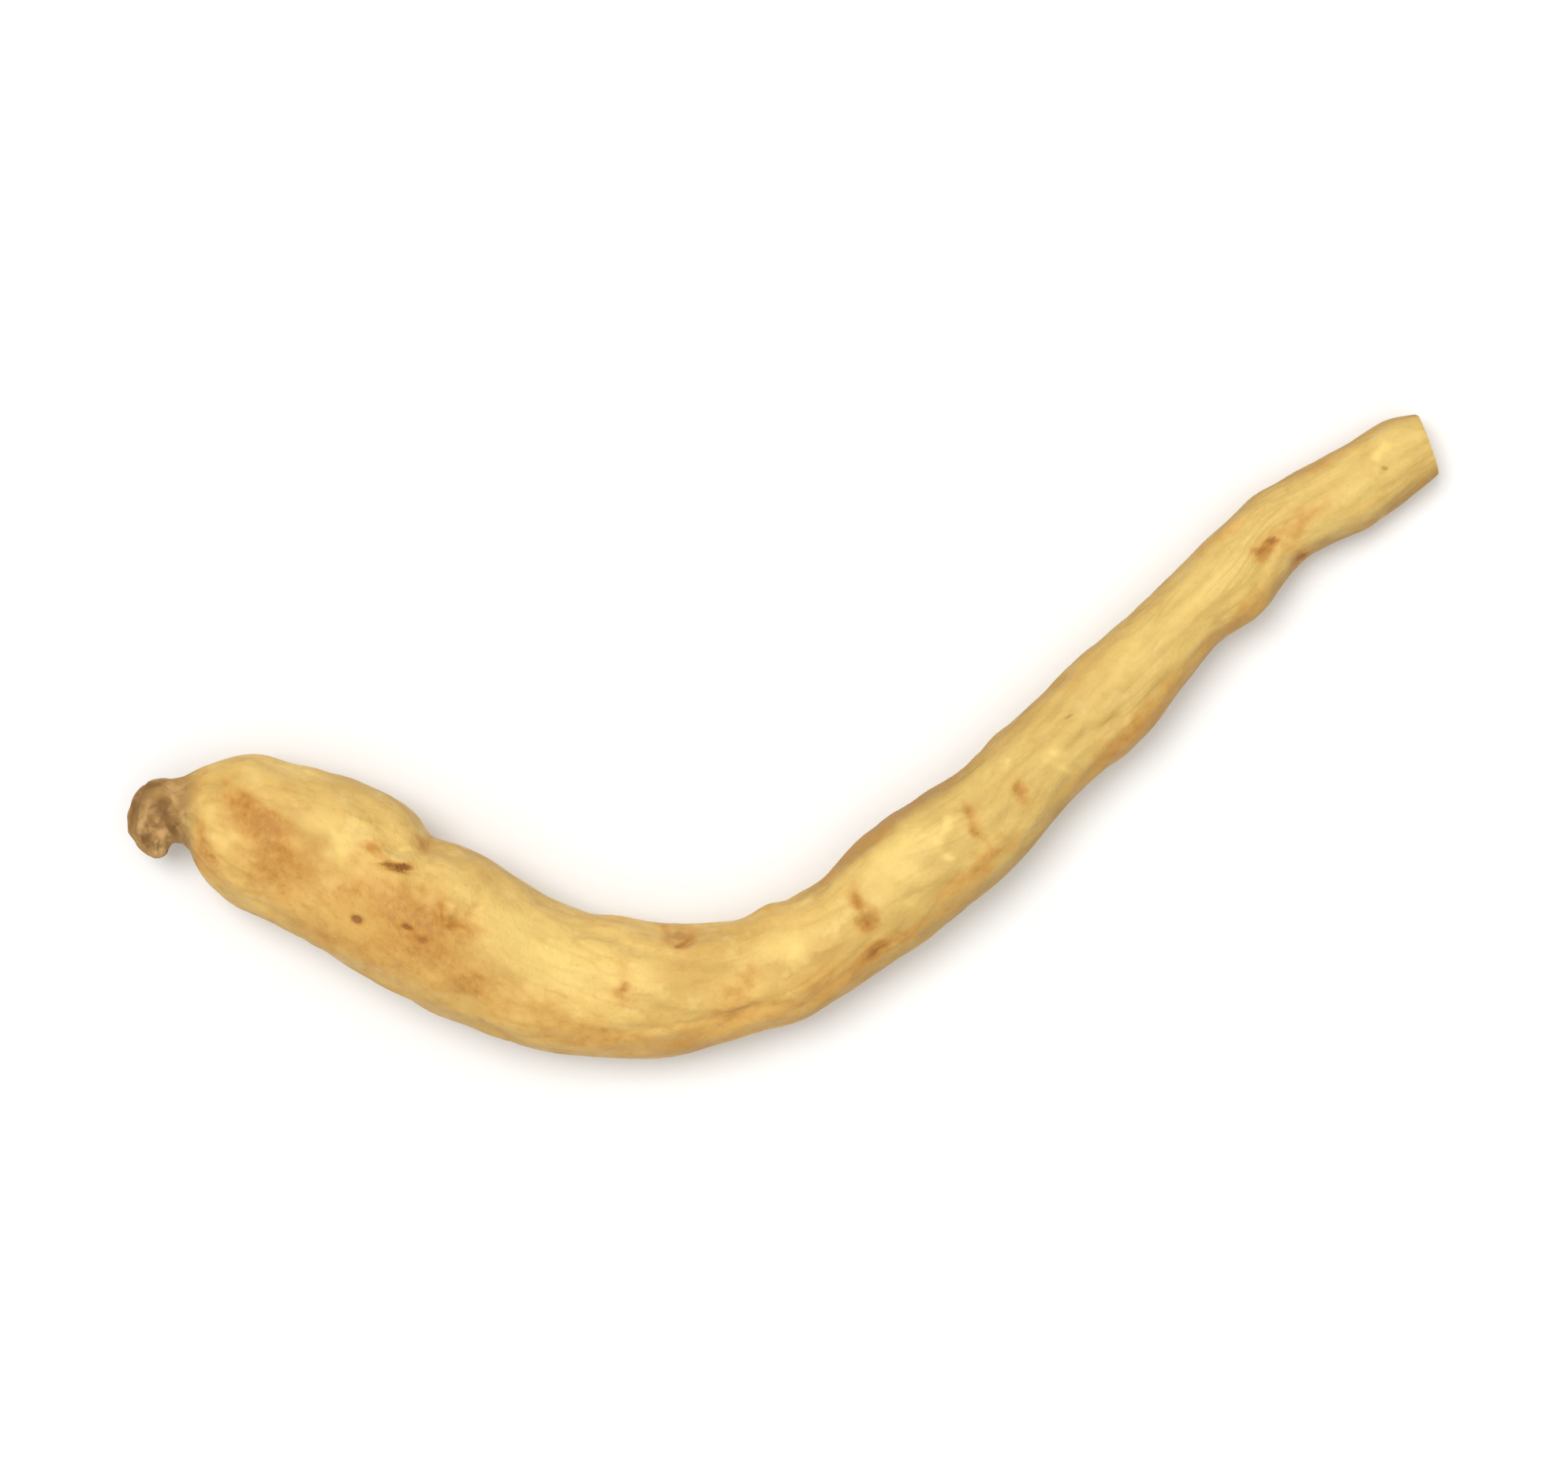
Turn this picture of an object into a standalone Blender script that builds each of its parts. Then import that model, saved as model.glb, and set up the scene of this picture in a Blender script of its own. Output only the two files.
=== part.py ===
"""Dried pseudostellaria root, one solid that grew as one piece.

At the left is the crown with the hooked, woody stub of the stem. The swollen body narrows
through a bend to a slim tail, which is cut off across its end. The root lies on Z = 0 on three
small flat spots: under the crown, under the bend and under the tail.

Ribs across the root give its outline as seen from above, its depth and how high it lies. The
skin is a smooth surface carried through them, and swells, furrows, scars and pits then raise or
sink it. Sizes are in millimetres here and become metres in the mesh. X runs from the stub
towards the tail, Z is up.
"""

import bmesh
import bpy
import numpy as np

MM = 0.001

# Each rib: upper edge x, y, lower edge x, y, half depth, height of its underside.
STUB_RIBS = [
    (-19.15, -3.62, -18.66, -3.75, 0.34, 1.20),
    (-19.43, -3.25, -18.53, -3.50, 0.52, 1.12),
    (-19.62, -2.85, -18.45, -3.35, 0.66, 1.08),
    (-19.68, -2.40, -18.33, -3.24, 0.76, 1.08),
    (-19.55, -1.95, -18.20, -3.20, 0.82, 1.10),
    (-19.23, -1.50, -18.08, -3.22, 0.86, 1.12),
    (-18.78, -1.29, -17.98, -3.28, 0.92, 1.08),
    (-18.28, -1.25, -17.88, -3.40, 1.02, 0.98),
]
CROWN_RIBS = [
    (-17.78, -1.03, -17.75, -3.65, 1.20, 0.82),
    (-17.18, -0.83, -17.55, -4.05, 1.42, 0.62),
    (-16.53, -0.65, -17.28, -4.45, 1.66, 0.40),
    (-15.88, -0.58, -16.73, -4.95, 1.88, 0.20),
    (-14.98, -0.78, -15.88, -5.38, 2.10, 0.03),
    (-13.88, -1.00, -14.93, -5.80, 2.26, -0.09),
    (-12.73, -1.35, -13.93, -6.35, 2.34, -0.10),
    (-11.68, -1.80, -12.93, -6.95, 2.36, 0.04),
    (-11.03, -2.30, -12.08, -7.45, 2.33, 0.16),
    (-10.53, -2.95, -11.33, -7.88, 2.28, 0.25),
    (-9.73, -3.23, -10.63, -8.23, 2.26, 0.30),
    (-8.88, -3.65, -9.83, -8.58, 2.20, 0.32),
]
BEND_RIBS = [
    (-7.98, -4.25, -8.78, -8.98, 2.14, 0.28),
    (-6.98, -4.85, -7.58, -9.33, 2.06, 0.16),
    (-5.88, -5.25, -6.18, -9.55, 2.00, -0.02),
    (-4.73, -5.45, -4.73, -9.68, 1.98, -0.09),
    (-3.48, -5.58, -3.23, -9.63, 1.92, -0.10),
    (-2.33, -5.60, -1.78, -9.25, 1.82, -0.02),
    (-1.33, -5.48, -0.58, -8.83, 1.68, 0.14),
    (-0.48, -5.05, 0.58, -8.48, 1.58, 0.28),
    (0.18, -4.88, 1.58, -7.90, 1.54, 0.36),
    (1.18, -4.25, 2.93, -7.03, 1.54, 0.40),
]
TAIL_RIBS = [
    (2.03, -3.33, 3.98, -6.40, 1.60, 0.40),
    (2.93, -2.55, 4.93, -5.58, 1.66, 0.38),
    (4.03, -1.83, 5.98, -4.73, 1.64, 0.36),
    (5.13, -1.13, 7.03, -3.80, 1.56, 0.36),
    (6.28, -0.10, 8.28, -2.40, 1.48, 0.38),
    (7.53, 1.05, 9.53, -1.10, 1.42, 0.40),
    (8.78, 2.30, 10.83, 0.00, 1.40, 0.40),
    (10.03, 3.35, 12.03, 1.50, 1.30, 0.42),
    (11.28, 4.50, 13.18, 2.85, 1.25, 0.38),
    (12.53, 5.73, 14.38, 3.68, 1.28, 0.28),
    (13.53, 6.65, 15.08, 4.70, 1.26, 0.20),
    (14.18, 7.23, 15.63, 5.25, 1.20, 0.14),
    (15.13, 7.78, 16.43, 5.73, 1.16, 0.05),
    (16.28, 8.45, 17.53, 6.20, 1.14, -0.07),
    (17.43, 9.10, 18.48, 6.90, 1.10, -0.08),
    (18.28, 9.55, 19.28, 7.50, 1.02, 0.00),
    (19.00, 9.67, 19.68, 7.85, 0.92, 0.10),
]
RIBS = np.array(STUB_RIBS + CROWN_RIBS + BEND_RIBS + TAIL_RIBS)
THICKEST = RIBS[:, 4].max()

# Marks on the upper side: x, y, half length, half width, direction in degrees, height.
SCARS = [
    (-11.57, -3.85, 0.46, 0.21, -6.0, -0.24),
    (-11.40, -3.42, 0.60, 0.26, -8.0, 0.12),
    (-10.75, -3.20, 0.62, 0.24, -70.0, -0.10),
    (-12.65, -5.45, 0.24, 0.22, 0.0, -0.10),
    (-11.12, -5.68, 0.26, 0.22, -10.0, -0.09),
    (-10.65, -6.12, 0.24, 0.22, 0.0, -0.09),
    (-9.87, -5.25, 0.28, 0.28, 0.0, 0.10),
    (-9.90, -5.76, 0.42, 0.20, -5.0, -0.14),
    (-3.20, -5.75, 1.30, 0.55, -2.0, -0.20),
    (-3.10, -6.45, 0.24, 0.22, 0.0, -0.08),
    (-1.35, -8.30, 0.60, 0.24, 25.0, -0.16),
    (2.33, -5.20, 0.62, 0.26, -66.0, -0.13),
    (2.78, -6.38, 0.80, 0.24, 32.0, -0.18),
    (5.55, -2.50, 0.45, 0.20, -66.0, -0.09),
    (7.05, -1.62, 0.26, 0.22, -40.0, -0.14),
    (14.46, 5.65, 0.48, 0.26, 43.0, -0.16),
    (15.55, 5.33, 0.36, 0.24, 30.0, -0.15),
]

# The crease where the woody stub leaves the crown: place along the root, width and depth.
COLLAR = (2.25, 0.22, 0.09)
STUB_LENGTH = 2.4
STUB_RIDGES = 5
STUB_RIDGE_HEIGHT = 0.06
TIP_DOME = 0.30

SWELL_HEIGHT = 0.08
SWELLS = {"seed": 3, "count": 9, "crests": (1, 3), "lengths": (5.0, 11.0)}
FURROW_DEPTH = 0.055
FURROW_SOFTNESS = 0.6
FURROWS = {"seed": 8, "count": 8, "crests": (3, 6), "lengths": (7.0, 16.0)}

# Scars on the underside, which lie across the root at places drawn at random.
UNDER_SCAR_SEED = 21
UNDER_SCAR_COUNT = 7
UNDER_SCAR_DEPTH = 0.12
UNDER_SCAR_PLACES = (4.0, 44.0)
UNDER_SCAR_HALF_TURNS = (1.15, 1.85)
UNDER_SCAR_LENGTHS = (0.25, 0.40)
UNDER_SCAR_WIDTHS = (0.5, 0.9)

RINGS = 116
POINTS_ROUND = 42
STUB_SPACING = 0.22
BODY_SPACING = 0.46
# The cut end: share of the rim's radius and how far the ring stands out.
CUT_RINGS = [(0.95, 0.05), (0.78, 0.06), (0.50, 0.02), (0.22, 0.04)]


def smoothstep(low, high, value):
    """0 below low, 1 above high and an S between them."""
    t = np.clip((value - low) / (high - low), 0.0, 1.0)
    return t * t * (3.0 - 2.0 * t)


def rib_places():
    """Distance of each rib from the stub's tip, measured through the middles of the ribs."""
    middles = (RIBS[:, 0:2] + RIBS[:, 2:4]) / 2.0
    steps = np.hypot(*np.diff(middles, axis=0).T)
    return np.concatenate([[0.0], np.cumsum(steps)])


def ribs_at(place):
    """The ribs' six numbers at any place: cubics through the ribs, with no kink at a rib."""
    knots = rib_places()
    slopes = np.gradient(RIBS, knots, axis=0)
    left = np.clip(np.searchsorted(knots, place, side="right") - 1, 0, len(knots) - 2)
    span = (knots[left + 1] - knots[left])[..., None]
    t = (place - knots[left])[..., None] / span
    return (
        (2 * t**3 - 3 * t**2 + 1) * RIBS[left]
        + (t**3 - 2 * t**2 + t) * span * slopes[left]
        + (3 * t**2 - 2 * t**3) * RIBS[left + 1]
        + (t**3 - t**2) * span * slopes[left + 1]
    )


def waves(place, angle, seed, count, crests, lengths):
    """Random waves added up: whole crests round the root, their lengths along it in mm."""
    rng = np.random.default_rng(seed)
    total = np.zeros_like(place)
    for _ in range(count):
        turns = rng.integers(crests[0], crests[1] + 1)
        pitch = rng.uniform(*lengths) * rng.choice((-1.0, 1.0))
        start = rng.uniform(0.0, 2.0 * np.pi)
        total += np.cos(turns * angle + 2.0 * np.pi * place / pitch + start)
    return total / np.sqrt(count / 2.0)


def scar(x, y, mark):
    """One mark's height at plan points x, y: a smooth oval dent or bump."""
    mark_x, mark_y, half_length, half_width, direction, height = mark
    turn = np.radians(direction)
    forward = (x - mark_x) * np.cos(turn) + (y - mark_y) * np.sin(turn)
    sideways = (y - mark_y) * np.cos(turn) - (x - mark_x) * np.sin(turn)
    return height * np.exp(-((forward / half_length) ** 2) - (sideways / half_width) ** 2)


def under_scars(place, angle):
    """Depth of the scars on the underside: ovals that lie across the root."""
    rng = np.random.default_rng(UNDER_SCAR_SEED)
    depth = np.zeros_like(place)
    for _ in range(UNDER_SCAR_COUNT):
        middle = rng.uniform(*UNDER_SCAR_PLACES)
        side = rng.uniform(*UNDER_SCAR_HALF_TURNS) * np.pi
        along = (place - middle) / rng.uniform(*UNDER_SCAR_LENGTHS)
        across = 2.0 * THICKEST * np.sin((angle - side) / 2.0) / rng.uniform(*UNDER_SCAR_WIDTHS)
        depth += UNDER_SCAR_DEPTH * np.exp(-(along**2) - across**2)
    return depth


def relief(place, angle, x, y, half_depth):
    """How far the skin stands out from the plain ribs, in mm. The slim tail has less of it."""
    on_stub = 1.0 - smoothstep(STUB_LENGTH - 0.6, STUB_LENGTH + 0.6, place)
    # The outline's own bumps are in the ribs, so the sides keep only part of the swells.
    off_side = 0.3 + 0.7 * np.sin(angle) ** 2
    height = SWELL_HEIGHT * waves(place, angle, **SWELLS) * off_side
    lines = waves(place, angle, **FURROWS) / FURROW_SOFTNESS
    height -= FURROW_DEPTH * np.exp(-(lines**2)) * (0.5 + 0.5 * off_side)
    height *= (1.0 - on_stub) * half_depth / THICKEST
    height += STUB_RIDGE_HEIGHT * np.cos(STUB_RIDGES * angle + 1.1 * place + 0.8) * on_stub
    collar_place, collar_width, collar_depth = COLLAR
    height -= collar_depth * np.exp(-(((place - collar_place) / collar_width) ** 2))
    facing_up = smoothstep(-0.15, 0.3, np.sin(angle))
    for mark in SCARS:
        height += scar(x, y, mark) * facing_up
    return height - under_scars(place, angle)


def skin(place, angle):
    """Points of the skin in mm. Angle 0 is the upper edge, a quarter turn on is the top."""
    rib = ribs_at(place)
    upper, lower = rib[..., 0:2], rib[..., 2:4]
    half_depth, underside = rib[..., 4], rib[..., 5]
    middle = (upper + lower) / 2.0
    half = (upper - lower) / 2.0
    across = half / np.linalg.norm(half, axis=-1, keepdims=True)
    # The tip closes like a dome over its last stretch.
    dome = np.sqrt(1.0 - (1.0 - np.clip(place / TIP_DOME, 0.0, 1.0)) ** 2)
    plain = middle + half * (dome * np.cos(angle))[..., None]
    out = relief(place, angle, plain[..., 0], plain[..., 1], half_depth) * dome
    plan = plain + across * (out * np.cos(angle))[..., None]
    z = underside + half_depth + (half_depth * dome + out) * np.sin(angle)
    return np.concatenate([plan, np.maximum(z, 0.0)[..., None]], axis=-1)


def ring_places():
    """Where the rings go: close together on the small stub, wider apart on the body."""
    length = rib_places()[-1]
    fine = np.linspace(0.0, length, 2000)
    spacing = STUB_SPACING + (BODY_SPACING - STUB_SPACING) * smoothstep(2.0, 6.0, fine)
    count = np.concatenate([[0.0], np.cumsum(np.diff(fine) / spacing[1:])])
    return np.interp(np.linspace(0.0, count[-1], RINGS + 1)[1:], count, fine)


def cut_rings(rim):
    """The cut end's rings, drawn in from the rim, and the point in its middle."""
    upper, lower = rim[0], rim[POINTS_ROUND // 2]
    along = np.array([upper[1] - lower[1], lower[0] - upper[0], 0.0])
    along /= np.linalg.norm(along)
    middle = rim.mean(axis=0)
    rings = [middle + (rim - middle) * share + along * out for share, out in CUT_RINGS]
    return rings, middle + along * CUT_RINGS[-1][1]


def build_root():
    angles = np.linspace(0.0, 2.0 * np.pi, POINTS_ROUND, endpoint=False)
    place, angle = np.meshgrid(ring_places(), angles, indexing="ij")
    rings = list(skin(place, angle))
    tip = skin(np.zeros(1), np.zeros(1))[0]
    inner_rings, middle_of_cut = cut_rings(rings[-1])
    rings += inner_rings

    mesh_builder = bmesh.new()
    rows = [[mesh_builder.verts.new(point * MM) for point in ring] for ring in rings]
    first = mesh_builder.verts.new(tip * MM)
    last = mesh_builder.verts.new(middle_of_cut * MM)
    for i in range(POINTS_ROUND):
        j = (i + 1) % POINTS_ROUND
        mesh_builder.faces.new((first, rows[0][i], rows[0][j]))
        mesh_builder.faces.new((last, rows[-1][j], rows[-1][i]))
        for near, far in zip(rows, rows[1:]):
            mesh_builder.faces.new((near[i], far[i], far[j], near[j]))
    bmesh.ops.recalc_face_normals(mesh_builder, faces=mesh_builder.faces)

    mesh = bpy.data.meshes.new("pseudostellaria_root")
    mesh_builder.to_mesh(mesh)
    mesh_builder.free()
    mesh.shade_smooth()
    mesh.set_sharp_from_angle(angle=np.radians(50.0))
    root = bpy.data.objects.new("pseudostellaria_root", mesh)
    bpy.context.scene.collection.objects.link(root)
    return root


def linear_colour(code):
    """An sRGB colour code such as #e9c077 as linear red, green, blue and alpha."""
    channels = np.array([int(code[i : i + 2], 16) for i in (1, 3, 5)]) / 255.0
    linear = np.where(
        channels <= 0.04045, channels / 12.92, ((channels + 0.055) / 1.055) ** 2.4
    )
    return (*linear, 1.0)


def dried_skin():
    material = bpy.data.materials.new("dried_root_skin")
    material.use_nodes = True
    shader = material.node_tree.nodes["Principled BSDF"]
    shader.inputs["Base Color"].default_value = linear_colour("#e9c077")
    shader.inputs["Roughness"].default_value = 0.55
    shader.inputs["Metallic"].default_value = 0.0
    return material


for leftover in list(bpy.data.objects):
    bpy.data.objects.remove(leftover)
root = build_root()
root.data.materials.append(dried_skin())
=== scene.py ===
"""The looks of one dried pseudostellaria root, lying on a plain pale table.

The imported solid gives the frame. A fine skin of the same form stands in for it here, with the
small wrinkles, scars and stains of the real root. Lengths on the root are in millimetres until
the mesh is made, because a root is drawn and measured in millimetres.
"""

import bpy
import numpy as np
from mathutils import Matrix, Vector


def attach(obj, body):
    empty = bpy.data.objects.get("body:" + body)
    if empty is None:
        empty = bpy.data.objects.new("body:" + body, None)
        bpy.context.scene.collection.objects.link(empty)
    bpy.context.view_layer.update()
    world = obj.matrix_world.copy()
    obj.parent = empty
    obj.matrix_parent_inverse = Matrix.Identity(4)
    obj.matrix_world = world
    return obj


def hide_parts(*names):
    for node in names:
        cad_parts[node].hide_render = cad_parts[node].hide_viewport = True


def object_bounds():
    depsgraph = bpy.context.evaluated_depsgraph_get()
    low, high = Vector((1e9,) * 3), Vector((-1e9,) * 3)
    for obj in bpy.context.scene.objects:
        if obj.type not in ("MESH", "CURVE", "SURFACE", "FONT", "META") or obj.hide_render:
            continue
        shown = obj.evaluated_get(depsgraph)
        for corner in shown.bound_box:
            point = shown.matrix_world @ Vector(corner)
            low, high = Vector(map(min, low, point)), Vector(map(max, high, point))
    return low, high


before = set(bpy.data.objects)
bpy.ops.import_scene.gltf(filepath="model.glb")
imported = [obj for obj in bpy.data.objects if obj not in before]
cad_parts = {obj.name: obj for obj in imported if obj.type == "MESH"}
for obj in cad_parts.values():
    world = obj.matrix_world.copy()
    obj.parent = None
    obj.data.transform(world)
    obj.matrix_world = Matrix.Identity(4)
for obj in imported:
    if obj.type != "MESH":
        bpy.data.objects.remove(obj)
cad_low, cad_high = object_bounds()
MM = 0.001


# The camera
# The photograph looks straight down on the root. The camera hangs over its middle, far enough
# off for a flat view and near enough that the root fills most of the picture's width.

PICTURE_SHARE = 0.84
LENS_MM = 190.0
SENSOR_MM = 36.0

camera = bpy.data.objects.new("camera", bpy.data.cameras.new("camera"))
bpy.context.scene.collection.objects.link(camera)
bpy.context.scene.camera = camera
camera.data.lens = LENS_MM
camera.data.sensor_width = SENSOR_MM
camera.data.clip_start = 0.01
picture_width = (cad_high.x - cad_low.x) / PICTURE_SHARE
middle = (cad_low + cad_high) / 2.0
camera.location = (middle.x, middle.y, middle.z + picture_width * LENS_MM / SENSOR_MM)


# The root
# A tuberous root, swollen with starch under a thin skin: a crown with the hooked stub of its
# woody stem, a bend, and a slim tail that was snapped off. It grew as one piece and dried hard,
# so it is one closed surface, carried through ribs that lie across it.

# Each rib: upper edge x, y, lower edge x, y, half depth, height of its underside.
STUB_RIBS = [
    (-19.15, -3.62, -18.66, -3.75, 0.34, 1.20),
    (-19.43, -3.25, -18.53, -3.50, 0.52, 1.12),
    (-19.62, -2.85, -18.45, -3.35, 0.66, 1.08),
    (-19.68, -2.40, -18.33, -3.24, 0.76, 1.08),
    (-19.55, -1.95, -18.20, -3.20, 0.82, 1.10),
    (-19.23, -1.50, -18.08, -3.22, 0.86, 1.12),
    (-18.78, -1.29, -17.98, -3.28, 0.92, 1.08),
    (-18.28, -1.25, -17.88, -3.40, 1.02, 0.98),
]
CROWN_RIBS = [
    (-17.78, -1.03, -17.75, -3.65, 1.20, 0.82),
    (-17.18, -0.83, -17.55, -4.05, 1.42, 0.62),
    (-16.53, -0.65, -17.28, -4.45, 1.66, 0.40),
    (-15.88, -0.58, -16.73, -4.95, 1.88, 0.20),
    (-14.98, -0.78, -15.88, -5.38, 2.10, 0.03),
    (-13.88, -1.00, -14.93, -5.80, 2.26, -0.09),
    (-12.73, -1.35, -13.93, -6.35, 2.34, -0.10),
    (-11.68, -1.80, -12.93, -6.95, 2.36, 0.04),
    (-11.03, -2.30, -12.08, -7.45, 2.33, 0.16),
    (-10.53, -2.95, -11.33, -7.88, 2.28, 0.25),
    (-9.73, -3.23, -10.63, -8.23, 2.26, 0.30),
    (-8.88, -3.65, -9.83, -8.58, 2.20, 0.32),
]
BEND_RIBS = [
    (-7.98, -4.25, -8.78, -8.98, 2.14, 0.28),
    (-6.98, -4.85, -7.58, -9.33, 2.06, 0.16),
    (-5.88, -5.25, -6.18, -9.55, 2.00, -0.02),
    (-4.73, -5.45, -4.73, -9.68, 1.98, -0.09),
    (-3.48, -5.58, -3.23, -9.63, 1.92, -0.10),
    (-2.33, -5.60, -1.78, -9.25, 1.82, -0.02),
    (-1.33, -5.48, -0.58, -8.83, 1.68, 0.14),
    (-0.48, -5.05, 0.58, -8.48, 1.58, 0.28),
    (0.18, -4.88, 1.58, -7.90, 1.54, 0.36),
    (1.18, -4.25, 2.93, -7.03, 1.54, 0.40),
]
TAIL_RIBS = [
    (2.03, -3.33, 3.98, -6.40, 1.60, 0.40),
    (2.93, -2.55, 4.93, -5.58, 1.66, 0.38),
    (4.03, -1.83, 5.98, -4.73, 1.64, 0.36),
    (5.13, -1.13, 7.03, -3.80, 1.56, 0.36),
    (6.28, -0.10, 8.28, -2.40, 1.48, 0.38),
    (7.53, 1.05, 9.53, -1.10, 1.42, 0.40),
    (8.78, 2.30, 10.83, 0.00, 1.40, 0.40),
    (10.03, 3.35, 12.03, 1.50, 1.30, 0.42),
    (11.28, 4.50, 13.18, 2.85, 1.25, 0.38),
    (12.53, 5.73, 14.38, 3.68, 1.28, 0.28),
    (13.53, 6.65, 15.08, 4.70, 1.26, 0.20),
    (14.18, 7.23, 15.63, 5.25, 1.20, 0.14),
    (15.13, 7.78, 16.43, 5.73, 1.16, 0.05),
    (16.28, 8.45, 17.53, 6.20, 1.14, -0.07),
    (17.43, 9.10, 18.48, 6.90, 1.10, -0.08),
    (18.28, 9.55, 19.28, 7.50, 1.02, 0.00),
    (19.00, 9.67, 19.68, 7.85, 0.92, 0.10),
]
RIBS = np.array(STUB_RIBS + CROWN_RIBS + BEND_RIBS + TAIL_RIBS)
THICKEST = RIBS[:, 4].max()
TIP_DOME = 0.30


def smoothstep(low, high, value):
    """0 below low, 1 above high and an S between them: t * t * (3 - 2 t)."""
    t = np.clip((value - low) / (high - low), 0.0, 1.0)
    return t * t * (3.0 - 2.0 * t)


rib_middles = (RIBS[:, 0:2] + RIBS[:, 2:4]) / 2.0
rib_places = np.concatenate([[0.0], np.cumsum(np.hypot(*np.diff(rib_middles, axis=0).T))])
root_length = rib_places[-1]


def ribs_at(place):
    """The ribs' six numbers at any place: cubics through the ribs, with no kink at a rib."""
    slopes = np.gradient(RIBS, rib_places, axis=0)
    left = np.searchsorted(rib_places, place, side="right") - 1
    left = np.clip(left, 0, len(rib_places) - 2)
    span = (rib_places[left + 1] - rib_places[left])[..., None]
    t = (place - rib_places[left])[..., None] / span
    return (
        (2 * t**3 - 3 * t**2 + 1) * RIBS[left]
        + (t**3 - 2 * t**2 + t) * span * slopes[left]
        + (3 * t**2 - 2 * t**3) * RIBS[left + 1]
        + (t**3 - t**2) * span * slopes[left + 1]
    )


def waves(place, angle, seed, count, crests, lengths):
    """Random waves added up: cos(crests * angle + turns along the root by its length in mm)."""
    rng = np.random.default_rng(seed)
    total = np.zeros_like(place)
    for _ in range(count):
        turns = rng.integers(crests[0], crests[1] + 1)
        pitch = rng.uniform(*lengths) * rng.choice((-1.0, 1.0))
        start = rng.uniform(0.0, 2.0 * np.pi)
        total += np.cos(turns * angle + 2.0 * np.pi * place / pitch + start)
    return total / np.sqrt(count / 2.0)


def creases(place, angle, softness, **field):
    """1 along the lines where random waves cross zero: exp(-(waves / softness)^2) beside."""
    return np.exp(-((waves(place, angle, **field) / softness) ** 2))


# Plane waves that make the edges of marks uneven: how many, and how long in mm.
WANDER_WAVES = 12
WANDER_LENGTHS = (0.35, 1.6)


def wander(x, y, reach, seed):
    """x and y moved by up to about reach mm by plane waves, so that a mark's edge is uneven."""
    rng = np.random.default_rng(seed)
    moved = []
    for start in (x, y):
        shift = np.zeros_like(x)
        for _ in range(WANDER_WAVES):
            turn, phase = rng.uniform(0.0, 2.0 * np.pi, 2)
            pitch = rng.uniform(*WANDER_LENGTHS)
            along = x * np.cos(turn) + y * np.sin(turn)
            shift += np.cos(2.0 * np.pi * along / pitch + phase)
        moved.append(start + reach * shift / np.sqrt(WANDER_WAVES / 2.0))
    return moved


def ovals(x, y, marks):
    """Smooth oval marks added up: exp(-(along / half length)^2 - (across / half width)^2)."""
    total = np.zeros_like(x)
    for mark_x, mark_y, half_length, half_width, direction, strength in marks:
        turn = np.radians(direction)
        along = (x - mark_x) * np.cos(turn) + (y - mark_y) * np.sin(turn)
        across = (y - mark_y) * np.cos(turn) - (x - mark_x) * np.sin(turn)
        total += strength * np.exp(-((along / half_length) ** 2) - (across / half_width) ** 2)
    return total


def folds(x, y, marks):
    """Folds of skin added up: each climbs over its width to its lip and drops just past it.

    height * exp(-(along / half length)^2) * an S from -width up to the lip * an S down to LIP_DROP
    """
    total = np.zeros_like(x)
    for mark_x, mark_y, half_length, width, direction, height in marks:
        turn = np.radians(direction)
        along = (x - mark_x) * np.cos(turn) + (y - mark_y) * np.sin(turn)
        across = (y - mark_y) * np.cos(turn) - (x - mark_x) * np.sin(turn)
        climb = smoothstep(-width, 0.0, across) * (1.0 - smoothstep(0.0, LIP_DROP, across))
        total += height * np.exp(-((along / half_length) ** 2)) * climb
    return total


# The relief of its skin. As the root dries its flesh shrinks under the skin, which sinks into
# long furrows and dimples and gathers in fine wrinkles. Fallen rootlets leave scars and pits.

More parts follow.
